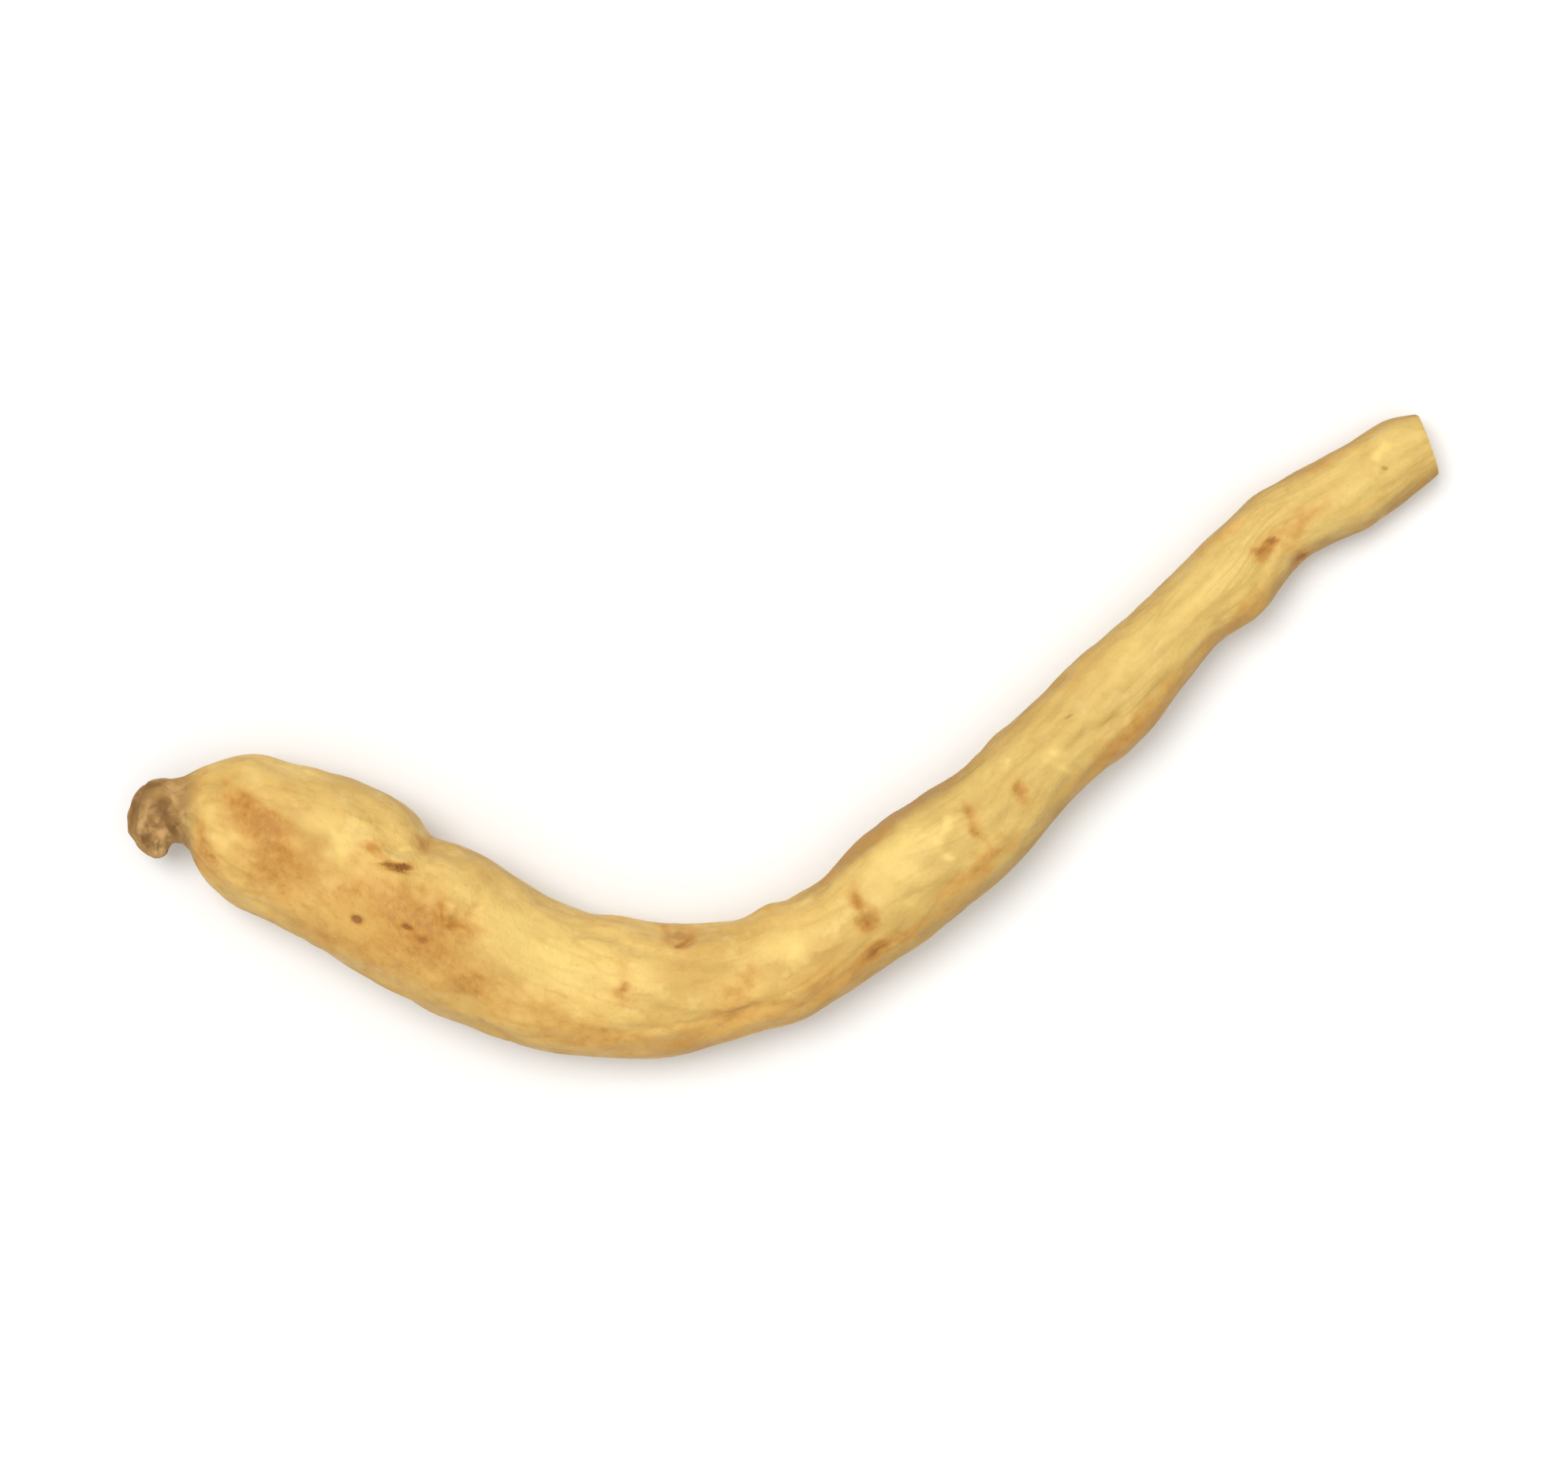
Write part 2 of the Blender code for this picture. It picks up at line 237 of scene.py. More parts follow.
# Dents and bumps on the upper side: x, y, half length, half width, direction, height.
DENTS = [
    (-11.50, -3.87, 0.44, 0.12, -8.0, -0.21),
    (-10.60, -3.22, 0.38, 0.18, 54.0, -0.08),
    (-12.35, -3.36, 0.20, 0.12, -20.0, -0.07),
    (-16.33, -2.05, 0.60, 0.28, -50.0, -0.07),
    (-15.60, -2.50, 0.90, 0.40, -38.0, -0.07),
    (-15.20, -3.60, 0.80, 0.35, -62.0, -0.06),
    (-15.92, -2.08, 0.20, 0.14, 0.0, -0.05),
    (-15.05, -3.44, 0.22, 0.14, -60.0, -0.05),
    (-15.48, -4.00, 0.25, 0.16, -30.0, -0.05),
    (-17.03, -3.58, 0.18, 0.13, 0.0, -0.06),
    (-12.67, -5.45, 0.19, 0.13, -15.0, -0.14),
    (-11.15, -5.67, 0.22, 0.12, -18.0, -0.12),
    (-10.68, -6.05, 0.20, 0.14, -10.0, -0.10),
    (-9.92, -5.18, 0.28, 0.24, 20.0, 0.24),
    (-9.76, -5.60, 0.40, 0.14, -8.0, -0.20),
    (-10.19, -5.30, 0.12, 0.28, 10.0, -0.12),
    (-9.14, -5.12, 0.42, 0.13, 62.0, -0.12),
    (-9.37, -7.33, 0.24, 0.20, 0.0, -0.05),
    (-6.60, -8.02, 0.50, 0.06, -6.0, -0.03),
    (-3.20, -5.75, 1.30, 0.50, -2.0, -0.18),
    (-2.98, -6.17, 0.42, 0.17, 26.0, -0.13),
    (-3.60, -5.88, 0.24, 0.26, -10.0, -0.05),
    (-4.80, -7.61, 0.13, 0.10, 0.0, -0.05),
    (-3.15, -8.70, 1.25, 0.08, 7.0, -0.06),
    (-1.90, -8.50, 0.90, 0.22, 14.0, -0.09),
    (-1.30, -8.30, 0.60, 0.22, 25.0, -0.12),
    (2.10, -4.76, 0.30, 0.17, -68.0, -0.10),
    (2.45, -5.58, 0.28, 0.19, -75.0, -0.13),
    (2.38, -5.20, 0.15, 0.14, -66.0, 0.09),
    (1.85, -5.20, 0.70, 0.18, -68.0, 0.05),
    (2.95, -5.10, 0.60, 0.20, -62.0, 0.05),
    (2.80, -6.42, 0.42, 0.18, 36.0, -0.13),
    (5.45, -2.18, 0.22, 0.16, -30.0, -0.07),
    (5.70, -2.90, 0.24, 0.17, -40.0, -0.07),
    (5.90, -2.50, 0.40, 0.14, -66.0, 0.04),
    (6.10, -3.20, 0.28, 0.10, -58.0, -0.05),
    (5.78, -3.55, 0.25, 0.10, 18.0, -0.05),
    (6.96, -1.60, 0.22, 0.18, -20.0, -0.08),
    (7.18, -1.88, 0.30, 0.22, -30.0, -0.05),
    (7.28, -2.16, 0.36, 0.09, -20.0, 0.04),
    (8.52, 0.57, 0.22, 0.06, 30.0, -0.04),
    (14.55, 5.74, 0.32, 0.14, 57.0, -0.15),
    (14.30, 5.46, 0.26, 0.18, 50.0, -0.07),
    (14.80, 5.42, 0.50, 0.16, 57.0, 0.05),
    (15.10, 6.25, 0.70, 0.14, 45.0, -0.05),
    (15.55, 5.30, 0.34, 0.18, 28.0, -0.18),
    (18.02, 8.03, 0.13, 0.10, 0.0, -0.05),
    (4.93, -2.62, 0.28, 0.22, 20.0, 0.05),
    (4.72, -3.26, 0.28, 0.22, 40.0, 0.05),
    (6.60, -0.78, 0.26, 0.22, 30.0, 0.05),
    (8.15, -0.60, 0.40, 0.26, 30.0, 0.05),
]
# Folds of skin: x, y and half length of the lip, width of the fold, direction, height.
LIP_DROP = 0.12
FOLDS = [
    (-11.50, -3.77, 0.62, 0.46, 172.0, 0.27),
    (-12.10, -3.46, 0.34, 0.26, 158.0, 0.13),
    (-2.98, -6.12, 0.40, 0.35, 206.0, 0.10),
    (2.82, -6.36, 0.48, 0.45, 219.0, 0.09),
    (15.48, 5.42, 0.32, 0.30, 208.0, 0.06),
]
UNEVEN_EDGE = {"reach": 0.035, "seed": 90}

# The crease where the woody stub leaves the crown: place along the root, width and depth.
COLLAR = (2.25, 0.20, 0.10)
# The stub's bark gives way to skin over STUB_FADE mm on either side of its end.
STUB_LENGTH = 2.4
STUB_FADE = 0.6

# Share of the coarse and of the fine relief that is left at the root's two edges.
COARSE_AT_EDGES = 0.3
FINE_AT_EDGES = 0.65

SWELL_HEIGHT = 0.08
SWELLS = {"seed": 3, "count": 9, "crests": (1, 3), "lengths": (5.0, 11.0)}
FURROW_DEPTH = 0.055
FURROWS = {"softness": 0.6, "seed": 8, "count": 8, "crests": (3, 6), "lengths": (7.0, 16.0)}
DIMPLE_HEIGHT = 0.026
DIMPLES = {"seed": 12, "count": 40, "crests": (5, 15), "lengths": (1.3, 4.0)}
WRINKLE_DEPTH = 0.024
WRINKLES = {"softness": 0.5, "seed": 33, "count": 34, "crests": (6, 17), "lengths": (2.0, 6.0)}
WRINKLED_PATCHES = {"seed": 5, "count": 12, "crests": (1, 3), "lengths": (4.0, 12.0)}
# Wrinkles gather in patches, which start and are full at these heights of their waves.
PATCH_RANGE = (-0.6, 1.2)
# Lines across the root fade by this share where wrinkles gather.
CROSS_LINE_FADE = 0.7
CROSS_LINE_DEPTH = 0.008
CROSS_LINES = {
    "softness": 0.35, "seed": 19, "count": 30, "crests": (0, 6), "lengths": (0.45, 1.1),
}
CRINKLE_DEPTH = 0.009
CRINKLES = {
    "softness": 0.4, "seed": 52, "count": 44, "crests": (10, 30), "lengths": (0.45, 1.8),
}

# The stub's bark: long ridges that twist by RIDGE_TWIST radians a mm, lumps and cracks. Inside
# the hook it is pressed smooth by HOOK_SMOOTHING, which starts and is full at HOOK_INSIDE of
# -cos(angle).
RIDGES = 5
RIDGE_TWIST = 1.1
RIDGE_START = 0.8
RIDGE_HEIGHT = 0.06
BARK_HEIGHT = 0.050
BARK = {"seed": 27, "count": 36, "crests": (3, 11), "lengths": (0.5, 1.8)}
BARK_CRACK_DEPTH = 0.030
HOOK_SMOOTHING = 0.8
HOOK_INSIDE = (0.2, 0.9)
BARK_CRACKS = {"softness": 0.22, "seed": 73, "count": 24, "crests": (2, 8), "lengths": (0.9, 3.5)}

# The upper side's marks start and are full at these values of sin(angle).
FACING_UP = (-0.15, 0.3)
# How much painted shade furrows and crinkles get, where a wrinkle's painted shade is 1.
FURROW_SHADE = 0.6
CRINKLE_SHADE = 0.35

# Scars on the underside, which lie across the root at places drawn at random.
UNDER_SCAR_SEED = 21
UNDER_SCAR_COUNT = 7
UNDER_SCAR_DEPTH = 0.12
UNDER_SCAR_PLACES = (4.0, 44.0)
UNDER_SCAR_HALF_TURNS = (1.15, 1.85)
UNDER_SCAR_LENGTHS = (0.25, 0.40)
UNDER_SCAR_WIDTHS = (0.5, 0.9)


def under_scars(place, angle):
    """0 to 1 over the underside's scars: exp(-along^2 - across^2) round each, lying across."""
    rng = np.random.default_rng(UNDER_SCAR_SEED)
    total = np.zeros_like(place)
    for _ in range(UNDER_SCAR_COUNT):
        middle_place = rng.uniform(*UNDER_SCAR_PLACES)
        side = rng.uniform(*UNDER_SCAR_HALF_TURNS) * np.pi
        along = (place - middle_place) / rng.uniform(*UNDER_SCAR_LENGTHS)
        across = 2.0 * THICKEST * np.sin((angle - side) / 2.0) / rng.uniform(*UNDER_SCAR_WIDTHS)
        total += np.exp(-(along**2) - across**2)
    return np.clip(total, 0.0, 1.0)


def relief(place, angle, x, y, half_depth):
    """How far the skin stands out from the plain ribs, in mm, and the painted shade of its creases.

    Swells less furrows, as in the solid, then dimples, wrinkles in patches, fine crinkles, the
    stub's bark, the dents, the folds and the scars of the underside.
    """
    on_stub = 1.0 - smoothstep(STUB_LENGTH - STUB_FADE, STUB_LENGTH + STUB_FADE, place)
    off_edges = np.sin(angle) ** 2
    coarse_share = COARSE_AT_EDGES + (1.0 - COARSE_AT_EDGES) * off_edges
    furrow = creases(place, angle, **FURROWS) * (0.5 + 0.5 * coarse_share)
    coarse = SWELL_HEIGHT * waves(place, angle, **SWELLS) * coarse_share - FURROW_DEPTH * furrow
    coarse *= half_depth / THICKEST

    patches = smoothstep(*PATCH_RANGE, waves(place, angle, **WRINKLED_PATCHES))
    wrinkle = creases(place, angle, **WRINKLES) * patches
    cross_line = creases(place, angle, **CROSS_LINES) * (1.0 - CROSS_LINE_FADE * patches)
    crinkle = creases(place, angle, **CRINKLES)
    fine = DIMPLE_HEIGHT * waves(place, angle, **DIMPLES) - WRINKLE_DEPTH * wrinkle
    fine -= CROSS_LINE_DEPTH * cross_line + CRINKLE_DEPTH * crinkle
    fine *= np.sqrt(half_depth / THICKEST) * (FINE_AT_EDGES + (1.0 - FINE_AT_EDGES) * off_edges)

    bark_crack = creases(place, angle, **BARK_CRACKS)
    bark = RIDGE_HEIGHT * np.cos(RIDGES * angle + RIDGE_TWIST * place + RIDGE_START)
    bark += BARK_HEIGHT * waves(place, angle, **BARK) - BARK_CRACK_DEPTH * bark_crack
    bark *= 1.0 - HOOK_SMOOTHING * smoothstep(*HOOK_INSIDE, -np.cos(angle))

    height = (coarse + fine) * (1.0 - on_stub) + bark * on_stub
    collar_place, collar_width, collar_depth = COLLAR
    height -= collar_depth * np.exp(-(((place - collar_place) / collar_width) ** 2))
    facing_up = smoothstep(*FACING_UP, np.sin(angle))
    uneven_x, uneven_y = wander(x, y, **UNEVEN_EDGE)
    height += (ovals(uneven_x, uneven_y, DENTS) + folds(uneven_x, uneven_y, FOLDS)) * facing_up
    height -= UNDER_SCAR_DEPTH * under_scars(place, angle)
    # Painted shade in wrinkles, furrows, crinkles and the bark's cracks.
    sunk = wrinkle + FURROW_SHADE * furrow + CRINKLE_SHADE * crinkle
    return height, np.clip(sunk * (1.0 - on_stub) + bark_crack * on_stub, 0.0, 1.0)


def skin(place, angle):
    """Points of the skin in mm, and the painted shade of its creases there.

    middle of the rib + half rib * cos(angle) + depth * sin(angle), moved outwards by the relief
    and kept above the table. Angle 0 is the upper edge, a quarter turn on is the top.
    """
    rib = ribs_at(place)
    upper, lower = rib[..., 0:2], rib[..., 2:4]
    half_depth, underside = rib[..., 4], rib[..., 5]
    half = (upper - lower) / 2.0
    across = half / np.linalg.norm(half, axis=-1, keepdims=True)
    # The tip closes like a dome over its last stretch.
    dome = np.sqrt(1.0 - (1.0 - np.clip(place / TIP_DOME, 0.0, 1.0)) ** 2)
    plain = (upper + lower) / 2.0 + half * (dome * np.cos(angle))[..., None]
    out, crease_shade = relief(place, angle, plain[..., 0], plain[..., 1], half_depth)
    plan = plain + across * (out * dome * np.cos(angle))[..., None]
    z = underside + half_depth + (half_depth + out) * dome * np.sin(angle)
    return np.concatenate([plan, np.maximum(z, 0.0)[..., None]], axis=-1), crease_shade


# Its mesh. Rings of points lie along the root, closer together on the stub and at the larger
# scars. Points lie closer together on the top, where the scars are, and wider apart underneath.
SKIN_RINGS = 570
POINTS_ROUND = 168
TOP_CROWDING = 0.35
STUB_SPACING = 0.045
BODY_SPACING = 0.095
# The stub's spacing changes to the body's between these places, and is summed at many places.
SPACING_CHANGE = (2.0, 5.0)
SAMPLED_PLACES = 4000
# Places of the scars at which rings are crowded: place, half length, crowding.
CROWDED_SCARS = [(9.7, 2.2, 0.42), (24.2, 0.8, 0.3), (29.2, 1.3, 0.2), (40.6, 0.9, 0.3)]

fine_places = np.linspace(0.0, root_length, SAMPLED_PLACES)
past_stub = smoothstep(*SPACING_CHANGE, fine_places)
spacing = STUB_SPACING + (BODY_SPACING - STUB_SPACING) * past_stub
for scar_place, half_length, crowding in CROWDED_SCARS:
    spacing *= 1.0 - crowding * np.exp(-(((fine_places - scar_place) / half_length) ** 2))
rings_before = np.concatenate([[0.0], np.cumsum(np.diff(fine_places) / spacing[1:])])
ring_places = np.interp(
    np.linspace(0.0, rings_before[-1], SKIN_RINGS + 1)[1:], rings_before, fine_places
)
even_angles = np.linspace(0.0, 2.0 * np.pi, POINTS_ROUND, endpoint=False)
ring_angles = even_angles + TOP_CROWDING * np.cos(even_angles)
place, angle = np.meshgrid(ring_places, ring_angles, indexing="ij")
skin_points, crease_shade = skin(place, angle)

# The snapped end: rings drawn in from the rim over the face of pith, where the ring of wood
# stands proud.
CUT_RINGS = 18
# Rings lie closer together towards the rim, by this power.
CUT_CROWDING = 1.25
# Each turning point of the break: share of the rim's radius, how far it stands out in mm.
BREAK = [
    (1.0, 0.0),
    (0.98, 0.03),
    (0.92, 0.06),
    (0.75, 0.03),
    (0.60, 0.05),
    (0.5, 0.02),
    (0.0, 0.03),
]
BREAK_ROUGHNESS = 0.012
BREAK_LUMPS = {"seed": 44, "count": 40, "crests": (2, 22), "lengths": (0.25, 1.2)}
RAY_DEPTH = 0.008
RAYS = {"seed": 46, "count": 16, "crests": (12, 34), "lengths": (3.0, 9.0)}
# The break is smooth at its rim and its middle: shares of the radius where that ends.
SMOOTH_MIDDLE, SMOOTH_RIM = 0.3, 0.8

cut_shares = 1.0 - (np.arange(1, CUT_RINGS + 1) / (CUT_RINGS + 1)) ** CUT_CROWDING
break_shares, break_outs = np.array(BREAK[::-1]).T
cut_outs = np.interp(cut_shares, break_shares, break_outs)
rim = skin_points[-1]
rim_across = rim[POINTS_ROUND // 2] - rim[0]
cut_direction = np.array([-rim_across[1], rim_across[0], 0.0])
cut_direction /= np.linalg.norm(cut_direction)
rim_middle = rim.mean(axis=0)
cut_share, cut_angle = np.meshgrid(cut_shares, ring_angles, indexing="ij")
off_rim = 1.0 - smoothstep(SMOOTH_RIM, 1.0, cut_share)
off_ends = smoothstep(0.0, SMOOTH_MIDDLE, cut_share) * off_rim
rays = waves(cut_share, cut_angle, **RAYS) * off_ends
torn = BREAK_ROUGHNESS * waves(cut_share, cut_angle, **BREAK_LUMPS) * off_ends
cut_points = rim_middle + (rim - rim_middle) * cut_shares[:, None, None]
cut_points = cut_points + cut_direction * (cut_outs[:, None] + torn + RAY_DEPTH * rays)[..., None]

tip_point = skin(np.zeros(1), np.zeros(1))[0]
cut_middle = (rim_middle + cut_direction * break_outs[0])[None]
points = np.concatenate(
    [skin_points.reshape(-1, 3), cut_points.reshape(-1, 3), tip_point, cut_middle]
)
box_low, box_high = np.array(cad_low) / MM, np.array(cad_high) / MM
points = np.clip(points, box_low, box_high)

ring_count = SKIN_RINGS + CUT_RINGS
near = np.arange(POINTS_ROUND)
far = np.roll(near, -1)
first_of_ring = (np.arange(ring_count - 1) * POINTS_ROUND)[:, None]
quads = np.stack(
    [
        first_of_ring + near,
        first_of_ring + far,
        first_of_ring + POINTS_ROUND + far,
        first_of_ring + POINTS_ROUND + near,
    ],
    axis=-1,
).reshape(-1, 4)
tip_index, cut_index = len(points) - 2, len(points) - 1
last_ring = (ring_count - 1) * POINTS_ROUND
tip_fan = np.stack([np.full(POINTS_ROUND, tip_index), far, near], axis=-1)
cut_fan = np.stack([np.full(POINTS_ROUND, cut_index), last_ring + near, last_ring + far], axis=-1)

root_mesh = bpy.data.meshes.new("root_skin")
root_mesh.from_pydata(
    (points * MM).tolist(), [], quads.tolist() + tip_fan.tolist() + cut_fan.tolist()
)
root_mesh.shade_smooth()
root_skin = bpy.data.objects.new("root_skin", root_mesh)
bpy.context.scene.collection.objects.link(root_skin)

# Its flat map: the skin slit along the root and laid out in three strips, one over another, and
# the snapped end as a disc above them. No two faces share a place on it.
STRIPS = 3
STRIP_LEFT, STRIP_WIDTH = 0.01, 0.98
STRIP_BOTTOM, STRIP_HEIGHT, STRIP_STEP = 0.005, 0.29, 0.30
DISC_MIDDLE, DISC_RADIUS = (0.06, 0.95), 0.04

rings_in_strip = SKIN_RINGS / STRIPS
ring = np.arange(SKIN_RINGS - 1)[:, None]
strip = ring // rings_in_strip
start_u = STRIP_LEFT + STRIP_WIDTH * (ring - strip * rings_in_strip) / rings_in_strip
end_u = start_u + STRIP_WIDTH / rings_in_strip
near_v = STRIP_BOTTOM + strip * STRIP_STEP + STRIP_HEIGHT * (1.0 - near / POINTS_ROUND)
far_v = near_v - STRIP_HEIGHT / POINTS_ROUND
start_u, end_u, near_v, far_v = np.broadcast_arrays(start_u, end_u, near_v, far_v)
corners = [(start_u, near_v), (start_u, far_v), (end_u, far_v), (end_u, near_v)]
skin_map = np.stack([np.stack(corner, axis=-1) for corner in corners], axis=2)

disc_share = np.concatenate([[1.0], cut_shares])[:, None]
near_turn = 2.0 * np.pi * near / POINTS_ROUND
far_turn = near_turn + 2.0 * np.pi / POINTS_ROUND
corners = [
    (disc_share[:-1], near_turn),
    (disc_share[:-1], far_turn),
    (disc_share[1:], far_turn),
    (disc_share[1:], near_turn),
]
disc_map = np.stack(
    [np.stack([share * np.cos(turn), share * np.sin(turn)], axis=-1) for share, turn in corners],
    axis=2,
)
tip_map = np.stack(
    [
        np.stack([np.full(POINTS_ROUND, STRIP_LEFT / 4.0), (near_v[0] + far_v[0]) / 2.0], axis=-1),
        np.stack([start_u[0], far_v[0]], axis=-1),
        np.stack([start_u[0], near_v[0]], axis=-1),
    ],
    axis=1,
)
last_share = cut_shares[-1]
middle_map = np.stack(
    [
        np.zeros((POINTS_ROUND, 2)),
        np.stack([last_share * np.cos(near_turn), last_share * np.sin(near_turn)], axis=-1),
        np.stack([last_share * np.cos(far_turn), last_share * np.sin(far_turn)], axis=-1),
    ],
    axis=1,
)
flat_map = np.concatenate(
    [
        skin_map.reshape(-1, 2),
        DISC_MIDDLE + DISC_RADIUS * disc_map.reshape(-1, 2),
        tip_map.reshape(-1, 2),
        DISC_MIDDLE + DISC_RADIUS * middle_map.reshape(-1, 2),
    ]
)
root_mesh.uv_layers.new(name="OFBake").uv.foreach_set(
    "vector", flat_map.astype(np.float32).ravel()
)

# Its stains. The skin dries straw yellow. Where rootlets and buds grew it stays brown, cracks
# are darker with painted shade in their depth, and thin skin over the starch is paler, with
# painted highlights where the top faces the light. A few brown marks are painted shade on flanks
# and in a valley turned from the light. Each kind of stain is a share from 0 to 1 that is kept on
# the mesh: x, y, half length, half width, direction, strength of each mark. A mark of negative
# strength takes stain away.
BLOTCHES = [
    (-16.69, -1.44, 0.24, 0.16, 60.0, 0.7),
    (-16.33, -2.00, 0.46, 0.30, -60.0, 0.6),
    (-15.92, -2.08, 0.32, 0.24, 30.0, 0.6),
    (-15.76, -1.79, 0.36, 0.18, 50.0, 0.4),
    (-16.00, -2.35, 0.64, 0.44, -35.0, 0.5),
    (-15.45, -2.52, 0.58, 0.38, -35.0, 0.75),
    (-15.35, -3.05, 0.75, 0.55, -50.0, 0.45),
    (-15.05, -3.44, 0.42, 0.28, -60.0, 0.6),
    (-15.48, -4.00, 0.42, 0.28, -30.0, 0.5),
    (-15.76, -3.83, 0.22, 0.16, 0.0, 0.4),
    (-15.12, -4.40, 0.40, 0.24, -40.0, 0.4),
    (-15.25, -3.25, 1.60, 1.10, -50.0, 0.55),
    (-15.60, -4.30, 1.40, 0.60, -25.0, 0.35),
    (-17.35, -3.50, 0.62, 0.45, -62.0, 0.9),
    (-17.40, -2.96, 0.22, 0.60, -10.0, 0.5),
    (-17.55, -1.60, 0.22, 0.50, 0.0, 0.4),
    (-17.30, -0.98, 0.36, 0.14, 20.0, 0.6),
    (-14.40, -3.90, 1.10, 0.50, -40.0, 0.22),
    (-12.90, -4.63, 0.50, 0.28, -10.0, 0.4),
    (-12.25, -3.30, 0.40, 0.24, -10.0, 0.4),
    (-10.80, -3.28, 0.42, 0.26, 58.0, 0.9),
    (-12.10, -3.24, 0.50, 0.18, -5.0, 0.6),
    (-11.95, -4.45, 1.30, 0.60, -15.0, 0.35),
    (-12.20, -5.40, 3.00, 1.40, -27.0, 0.34),
    (-11.55, -4.75, 0.90, 0.38, -20.0, 0.35),
    (-10.85, -5.35, 1.00, 0.60, -30.0, 0.7),
    (-11.65, -5.40, 0.52, 0.28, -35.0, 0.4),
    (-10.72, -6.02, 0.40, 0.24, -20.0, 0.6),
    (-10.10, -5.45, 0.85, 0.60, -20.0, 0.75),
    (-9.15, -5.10, 0.38, 0.14, 60.0, 0.35),
    (-9.88, -5.14, 0.26, 0.20, 10.0, -0.4),
    (-9.20, -5.85, 0.45, 0.30, -30.0, 0.4),
    (-9.38, -7.30, 0.40, 0.34, 0.0, 0.9),
    (-10.20, -6.60, 1.30, 0.65, -38.0, 0.65),
    (-11.90, -6.90, 1.50, 0.36, -31.0, 0.5),
    (-13.40, -5.20, 1.20, 0.50, -27.0, 0.30),
    (-11.50, -6.30, 1.00, 0.50, -30.0, 0.40),
    (-13.55, -6.10, 0.45, 0.20, -30.0, 0.6),
    (-13.70, -5.95, 1.80, 0.42, -27.0, 0.3),
    (-7.40, -8.20, 2.60, 0.65, -18.0, 0.55),
    (-5.00, -9.10, 3.00, 0.50, -3.0, 0.5),
    (-2.40, -9.05, 1.80, 0.40, 12.0, 0.3),
    (-6.94, -6.04, 0.26, 0.18, 0.0, 0.35),
    (-4.76, -6.94, 0.34, 0.28, 0.0, 0.6),
    (-4.82, -7.55, 0.40, 0.28, -30.0, 1.1),
    # The bend's valley: brown, partly painted shade in it.
    (-3.05, -6.05, 0.60, 0.28, 20.0, 1.1),
    (-3.60, -5.86, 0.24, 0.30, -10.0, 0.9),
    (-5.40, -5.42, 1.80, 0.14, -5.0, 0.45),
    (-1.08, -7.15, 0.42, 0.38, 0.0, 0.8),
    # Painted shade on the lower flank under the bend.
    (-1.45, -8.35, 0.90, 0.36, 18.0, 0.8),
    (-1.50, -7.80, 0.50, 0.30, 20.0, 0.5),
    # Painted shade on the lower flank past the bend.
    (1.00, -7.60, 1.90, 0.40, 33.0, 0.7),
    (2.80, -6.44, 0.50, 0.22, 37.0, 0.9),
    (3.60, -5.95, 0.90, 0.26, 37.0, 0.7),
    (1.45, -3.95, 0.70, 0.12, 50.0, 0.5),
    (2.15, -3.32, 0.90, 0.20, 46.0, 0.35),
    (3.50, -2.15, 1.40, 0.17, 40.5, 0.4),
    (5.40, -4.35, 1.50, 0.32, 42.0, 0.7),
    (5.62, -2.52, 0.60, 0.30, -66.0, 0.4),
    (6.30, -3.45, 0.80, 0.30, 45.0, 0.5),
    (7.10, -1.78, 0.45, 0.32, -40.0, 0.45),
    (8.80, 1.80, 2.20, 0.32, 46.0, 0.32),
    # Brown of the lower edge, partly painted shade and a painted orange reflection.
    (10.50, 0.20, 2.40, 0.36, 47.0, 0.9),
    (13.60, 3.55, 1.60, 0.30, 42.0, 0.7),
    (13.10, 6.05, 1.20, 0.25, 42.0, 0.5),
    (14.35, 5.55, 0.50, 0.28, 52.0, 0.4),
    (15.45, 6.33, 1.05, 0.36, 40.0, 0.85),
    (15.55, 5.36, 0.34, 0.22, 28.0, 0.7),
    (16.10, 8.12, 1.10, 0.22, 27.0, 0.55),
    (17.60, 7.00, 1.20, 0.18, 36.0, 0.35),
]
